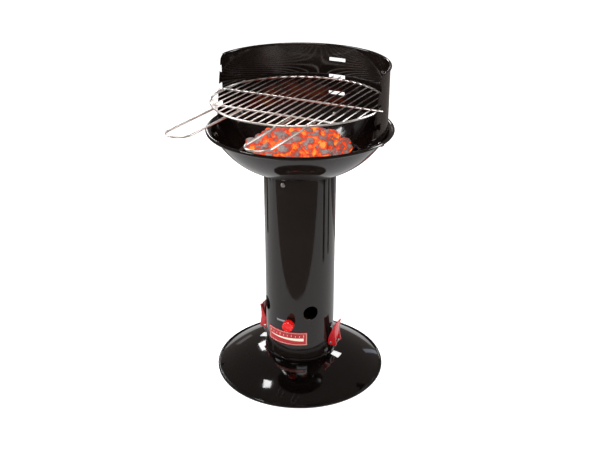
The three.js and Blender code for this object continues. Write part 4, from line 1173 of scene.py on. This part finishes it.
def crossed_head(build, matrix, head, height, shank, length):
    """A pan head with a cross recess over a plain shank; +Z is outwards and the head's top is at 0."""
    rings = []
    depth = height * 0.55
    for j in range(25):
        share = j / 24
        ring = []
        for i in range(64):
            turn = 2 * math.pi * i / 64
            r = head * share
            dome = -height * (1 - math.sqrt(max(1 - share**2.6, 0.0)))
            x, y = abs(r * math.cos(turn)), abs(r * math.sin(turn))
            arm = head * 0.13
            across = max(min(x, y) - arm, max(x, y) - head * 0.56) / (head * 0.05)
            cut = depth * min(max(0.5 - across * 0.5, 0.0), 1.0)
            place = v3(r * math.cos(turn), r * math.sin(turn), dome - cut)
            ring.append(build.verts.new(matrix @ place))
            if j == 0:
                break
        rings.append(ring)
    skin(build, rings)
    chamfer = 0.0004
    under = [v2(head, -height), v2(shank, -height), v2(shank, -length + chamfer)]
    turn_profile(build, under + [v2(shank - chamfer, -length), v2(0, -length)], 64, matrix)


def screw(build, matrix, length):
    crossed_head(build, matrix, 0.0055, 0.0036, SCREW_RADIUS, length)


def small_screw(build, matrix, length):
    crossed_head(build, matrix, 0.005, 0.0025, SCREW_RADIUS, length)


def hexagon_nut(build, matrix, length):
    nut(build, matrix, 0.0058, SCREW_HOLE, length)


def rivet(build, matrix, length):
    """A domed head on a plain shank."""
    shank = 0.0016
    head = [v2(0.003 * math.sin(a), shank * math.cos(a) - shank) for a in np.linspace(0, math.pi / 2, 9)]
    turn_profile(build, head + [v2(shank, -shank), v2(shank, -length), v2(0, -length)], 32, matrix)


def headed_pin(build, matrix, length):
    """A pin with the same flat head at both ends."""
    end = [v2(0, 0), v2(0.0029, 0), v2(0.0034, -0.0005), v2(0.0034, -0.0016), v2(0.002, -0.0016)]
    other = [v2(p.x, -length - p.y) for p in reversed(end)]
    turn_profile(build, end + other, 32, matrix)


def fastener(node, suffix, make, body="stand", sharp=35.0, along_longest=True):
    """Makes one fastener where its CAD node is, and as long."""
    matrix, length = axis_frame(node, along_longest)
    build = bmesh.new()
    make(build, matrix, length)
    piece(f"{node}_{suffix}", build, ZINC, body, [node], sharp=sharp)


def fasteners():
    places = [("column", i + 1) for i in range(3)]
    places += [("windscreen", side) for side in SCREEN_SCREW_ANGLES]
    for part, which in places:
        fastener(f"{part}_screw_{which}", "turned", screw, sharp=40.0)
    for part, which in places:
        fastener(f"{part}_nut_{which}", "hex", hexagon_nut, sharp=30.0, along_longest=False)
    for side in ("right", "left"):
        for i in (1, 2):
            fastener(f"latch_rivet_{side}_{i}", "domed", rivet)
        fastener(f"latch_pin_{side}", "headed", headed_pin)
    fastener("knob_screw", "turned", small_screw, "damper", sharp=40.0)


def nut(build, matrix, across, bore, height):
    """A hexagon nut with chamfered corners and a bore."""
    steps = 48
    rows = []
    for z, chamfer in ((0.0, 1.0), (-height * 0.14, 0.0), (-height * 0.86, 0.0), (-height, 1.0)):
        row = []
        for i in range(steps):
            turn = 2 * math.pi * i / steps
            inside = math.cos(math.pi / 6) / math.cos((turn % (math.pi / 3)) - math.pi / 6)
            r = across * (min(inside, 0.9) if chamfer else inside)
            row.append(build.verts.new(matrix @ Vector((r * math.cos(turn), r * math.sin(turn), z))))
        rows.append(row)
    for z in (-height, 0.0):
        rows.append([build.verts.new(matrix @ v3(p.x, p.y, z)) for p in circle(bore, steps)])
    skin(build, rows + rows[:1])


# ---------------------------------------------------------------- stage, light and camera
CAMERA_TURN = 27.03  # degrees from the front towards +X
CAMERA_PITCH = 24.5
CAMERA_REACH = 1.960
CAMERA_HEIGHT = 1.287
SEEN_FROM_CAMERA = Matrix.Rotation(math.radians(CAMERA_TURN), 4, "Z")  # +X right, +Y away
PALE = ((0.97, 0.97, 0.97), (1.0, 1.0, 1.0))
STAGE_RADIUS = 14.0


def stage_piece(name, build, colours, glow, paint=0.9):
    """A softly mottled matt surface of the studio, which may glow by itself."""
    look = Look(name)
    clouds = look.noise(1.5, 3.0)
    painted = [tuple(paint * c for c in colour) for colour in colours]
    look.set(Base_Color=look.mix(clouds, *painted), Roughness=1.0)
    look.set(Emission_Color=look.mix(clouds, *colours), Emission_Strength=glow)
    mesh = bpy.data.meshes.new(name)
    build.to_mesh(mesh)
    build.free()
    mesh.materials.append(look.material)
    thing = bpy.data.objects.new(name, mesh)
    bpy.context.scene.collection.objects.link(thing)
    return thing


def floor():
    build = bmesh.new()
    bmesh.ops.create_circle(build, cap_ends=True, radius=STAGE_RADIUS, segments=64)
    thing = stage_piece("studio_floor", build, PALE, 0.9)
    thing.location.z = -0.0005
    thing.visible_glossy = False
    build = bmesh.new()
    bmesh.ops.create_uvsphere(build, u_segments=48, v_segments=24, radius=STAGE_RADIUS - 0.1)
    thing = stage_piece("studio_backdrop", build, PALE, 0.9)
    thing.visible_glossy = False
    thing.visible_diffuse = False
    thing.visible_shadow = False


def reflector(name, size, place, colour, glow, flat=False, turn=0.0):
    """A card that only reflections see; its place is (right, away, up) as the camera sees it."""
    build = bmesh.new()
    bmesh.ops.create_grid(build, x_segments=1, y_segments=1, size=0.5)
    thing = stage_piece(name, build, (colour, tuple(0.85 * c for c in colour)), glow, 0.0)
    place = Vector(place)
    aim = Matrix() if flat else (v3(0, 0, place.z) - place).to_track_quat("Z", "Y").to_matrix().to_4x4()
    turned = SEEN_FROM_CAMERA @ Matrix.Rotation(math.radians(turn), 4, "Z")
    thing.matrix_world = turned @ Matrix.Translation(place) @ aim @ Matrix.Diagonal((*size, 1, 1))
    thing.visible_camera = False
    thing.visible_diffuse = False
    thing.visible_shadow = False


def sky_place(azimuth, elevation, distance=2.4):
    """A place seen over the object, so many degrees to the right and up."""
    turn, rise = math.radians(azimuth), math.radians(elevation)
    flat = distance * math.cos(rise)
    return flat * math.sin(turn), flat * math.cos(turn), distance * math.sin(rise)


def reflectors():
    white = (1.0, 1.0, 1.0)
    dark = (0.01, 0.01, 0.01)
    reflector("pale_table", (2.8, 1.25), (0, 0.13, 0), white, 0.85, flat=True, turn=-12)
    reflector("left_panel", (0.14, 0.5), (-0.95, 0.12, 0.25), white, 0.9)
    reflector("left_shade", (0.16, 0.24), (-0.72, 0.50, 0.12), dark, 1.0)
    reflector("right_shade", (0.09, 0.7), (0.70, -0.14, 0.35), dark, 1.0)
    reflector("right_far_shade", (0.08, 0.7), (0.74, 0.12, 0.35), dark, 1.0)
    reflector("right_edge_panel", (0.05, 0.24), (0.52, 0.62, 0.12), (0.8, 0.88, 1.0), 1.2)
    reflector("screen_panel", (0.10, 0.5), (0.85, -0.05, 0.52), white, 2.6)
    reflector("upper_window", (0.26, 0.40), sky_place(-16, 33), white, 16.0)
    reflector("high_window", (0.34, 0.60), sky_place(-74, 65), white, 22.0)
    reflector("slit_window", (0.05, 0.26), sky_place(-6, 52), white, 6.0)
    reflector("far_window", (0.34, 0.22), sky_place(-23, 9), (1.0, 0.93, 0.9), 0.7)
    reflector("rim_window", (0.6, 0.7), sky_place(2, 13), white, 4.0)
    reflector("red_glint", (0.16, 0.8), (0.42, 1.25, 0.001), (1.0, 0.22, 0.15), 0.4, flat=True)


def soft_light(name, place, size, power, warmth=1.0, hidden_from=()):
    """A soft box aimed at the grill; its place is (right, away, up) as the camera sees it.

    Glossy pieces that would mirror the box as a hard grey patch are named in hidden_from.
    """
    light = bpy.data.lights.new(name, "AREA")
    light.shape = "RECTANGLE"
    light.size, light.size_y = size
    light.energy = power
    light.color = (1.0, warmth, warmth * warmth)
    thing = bpy.data.objects.new(name, light)
    bpy.context.scene.collection.objects.link(thing)
    place = Vector(place)
    aim = (v3(0, 0, 0.45) - place).to_track_quat("-Z", "Y").to_matrix().to_4x4()
    thing.matrix_world = SEEN_FROM_CAMERA @ Matrix.Translation(place) @ aim
    shaded = bpy.data.collections.new(name + "_shaded")
    for shy in hidden_from:
        shaded.objects.link(bpy.data.objects[shy])
    for entry in shaded.collection_objects:
        entry.light_linking.link_state = "EXCLUDE"
    thing.light_linking.receiver_collection = shaded


def studio():
    floor()
    reflectors()
    world = bpy.data.worlds.new("studio")
    bpy.context.scene.world = world
    world.use_nodes = True
    background = world.node_tree.nodes["Background"].inputs
    background["Color"].default_value = (1.0, 0.86, 0.80, 1.0)
    background["Strength"].default_value = 0.20
    enamel = ["fire_bowl", "enamelled_base"]
    soft_light("left_box", (-2.3, 0.2, 1.6), (0.9, 1.4), 42, hidden_from=enamel)
    soft_light("right_box", (2.2, 0.5, 1.2), (0.5, 1.6), 35, hidden_from=["enamelled_base"])
    soft_light("front_box", (-0.9, -2.2, 2.1), (1.2, 1.0), 30, 0.97, hidden_from=enamel)
    soft_light("top_box", (0.2, -1.4, 2.7), (1.3, 0.7), 30, hidden_from=enamel)


def camera():
    data = bpy.data.cameras.new("camera")
    data.lens = 52.3
    data.sensor_width = 36.0
    thing = bpy.data.objects.new("camera", data)
    bpy.context.scene.collection.objects.link(thing)
    thing.location = polar(CAMERA_TURN, CAMERA_REACH, CAMERA_HEIGHT)
    thing.rotation_euler = (math.radians(90 - CAMERA_PITCH), 0, math.radians(CAMERA_TURN))
    bpy.context.scene.camera = thing


# ---------------------------------------------------------------- assembly
base_plate()
ash_pan()
column()
damper()
knob()
scale_plate()
for latch_side, half_turn in (("right", 0.0), ("left", math.pi)):
    placing = Matrix.Rotation(half_turn, 4, "Z")
    lever(latch_side, placing)
    bracket(latch_side, placing)
    bail(latch_side, placing)
bowl()
bowl_collar()
windscreen()
grid_frame()
handle("left")
handle("right")
fire_grate()
charcoal()
fasteners()
studio()
camera()
bpy.context.scene.view_settings.view_transform = "Standard"
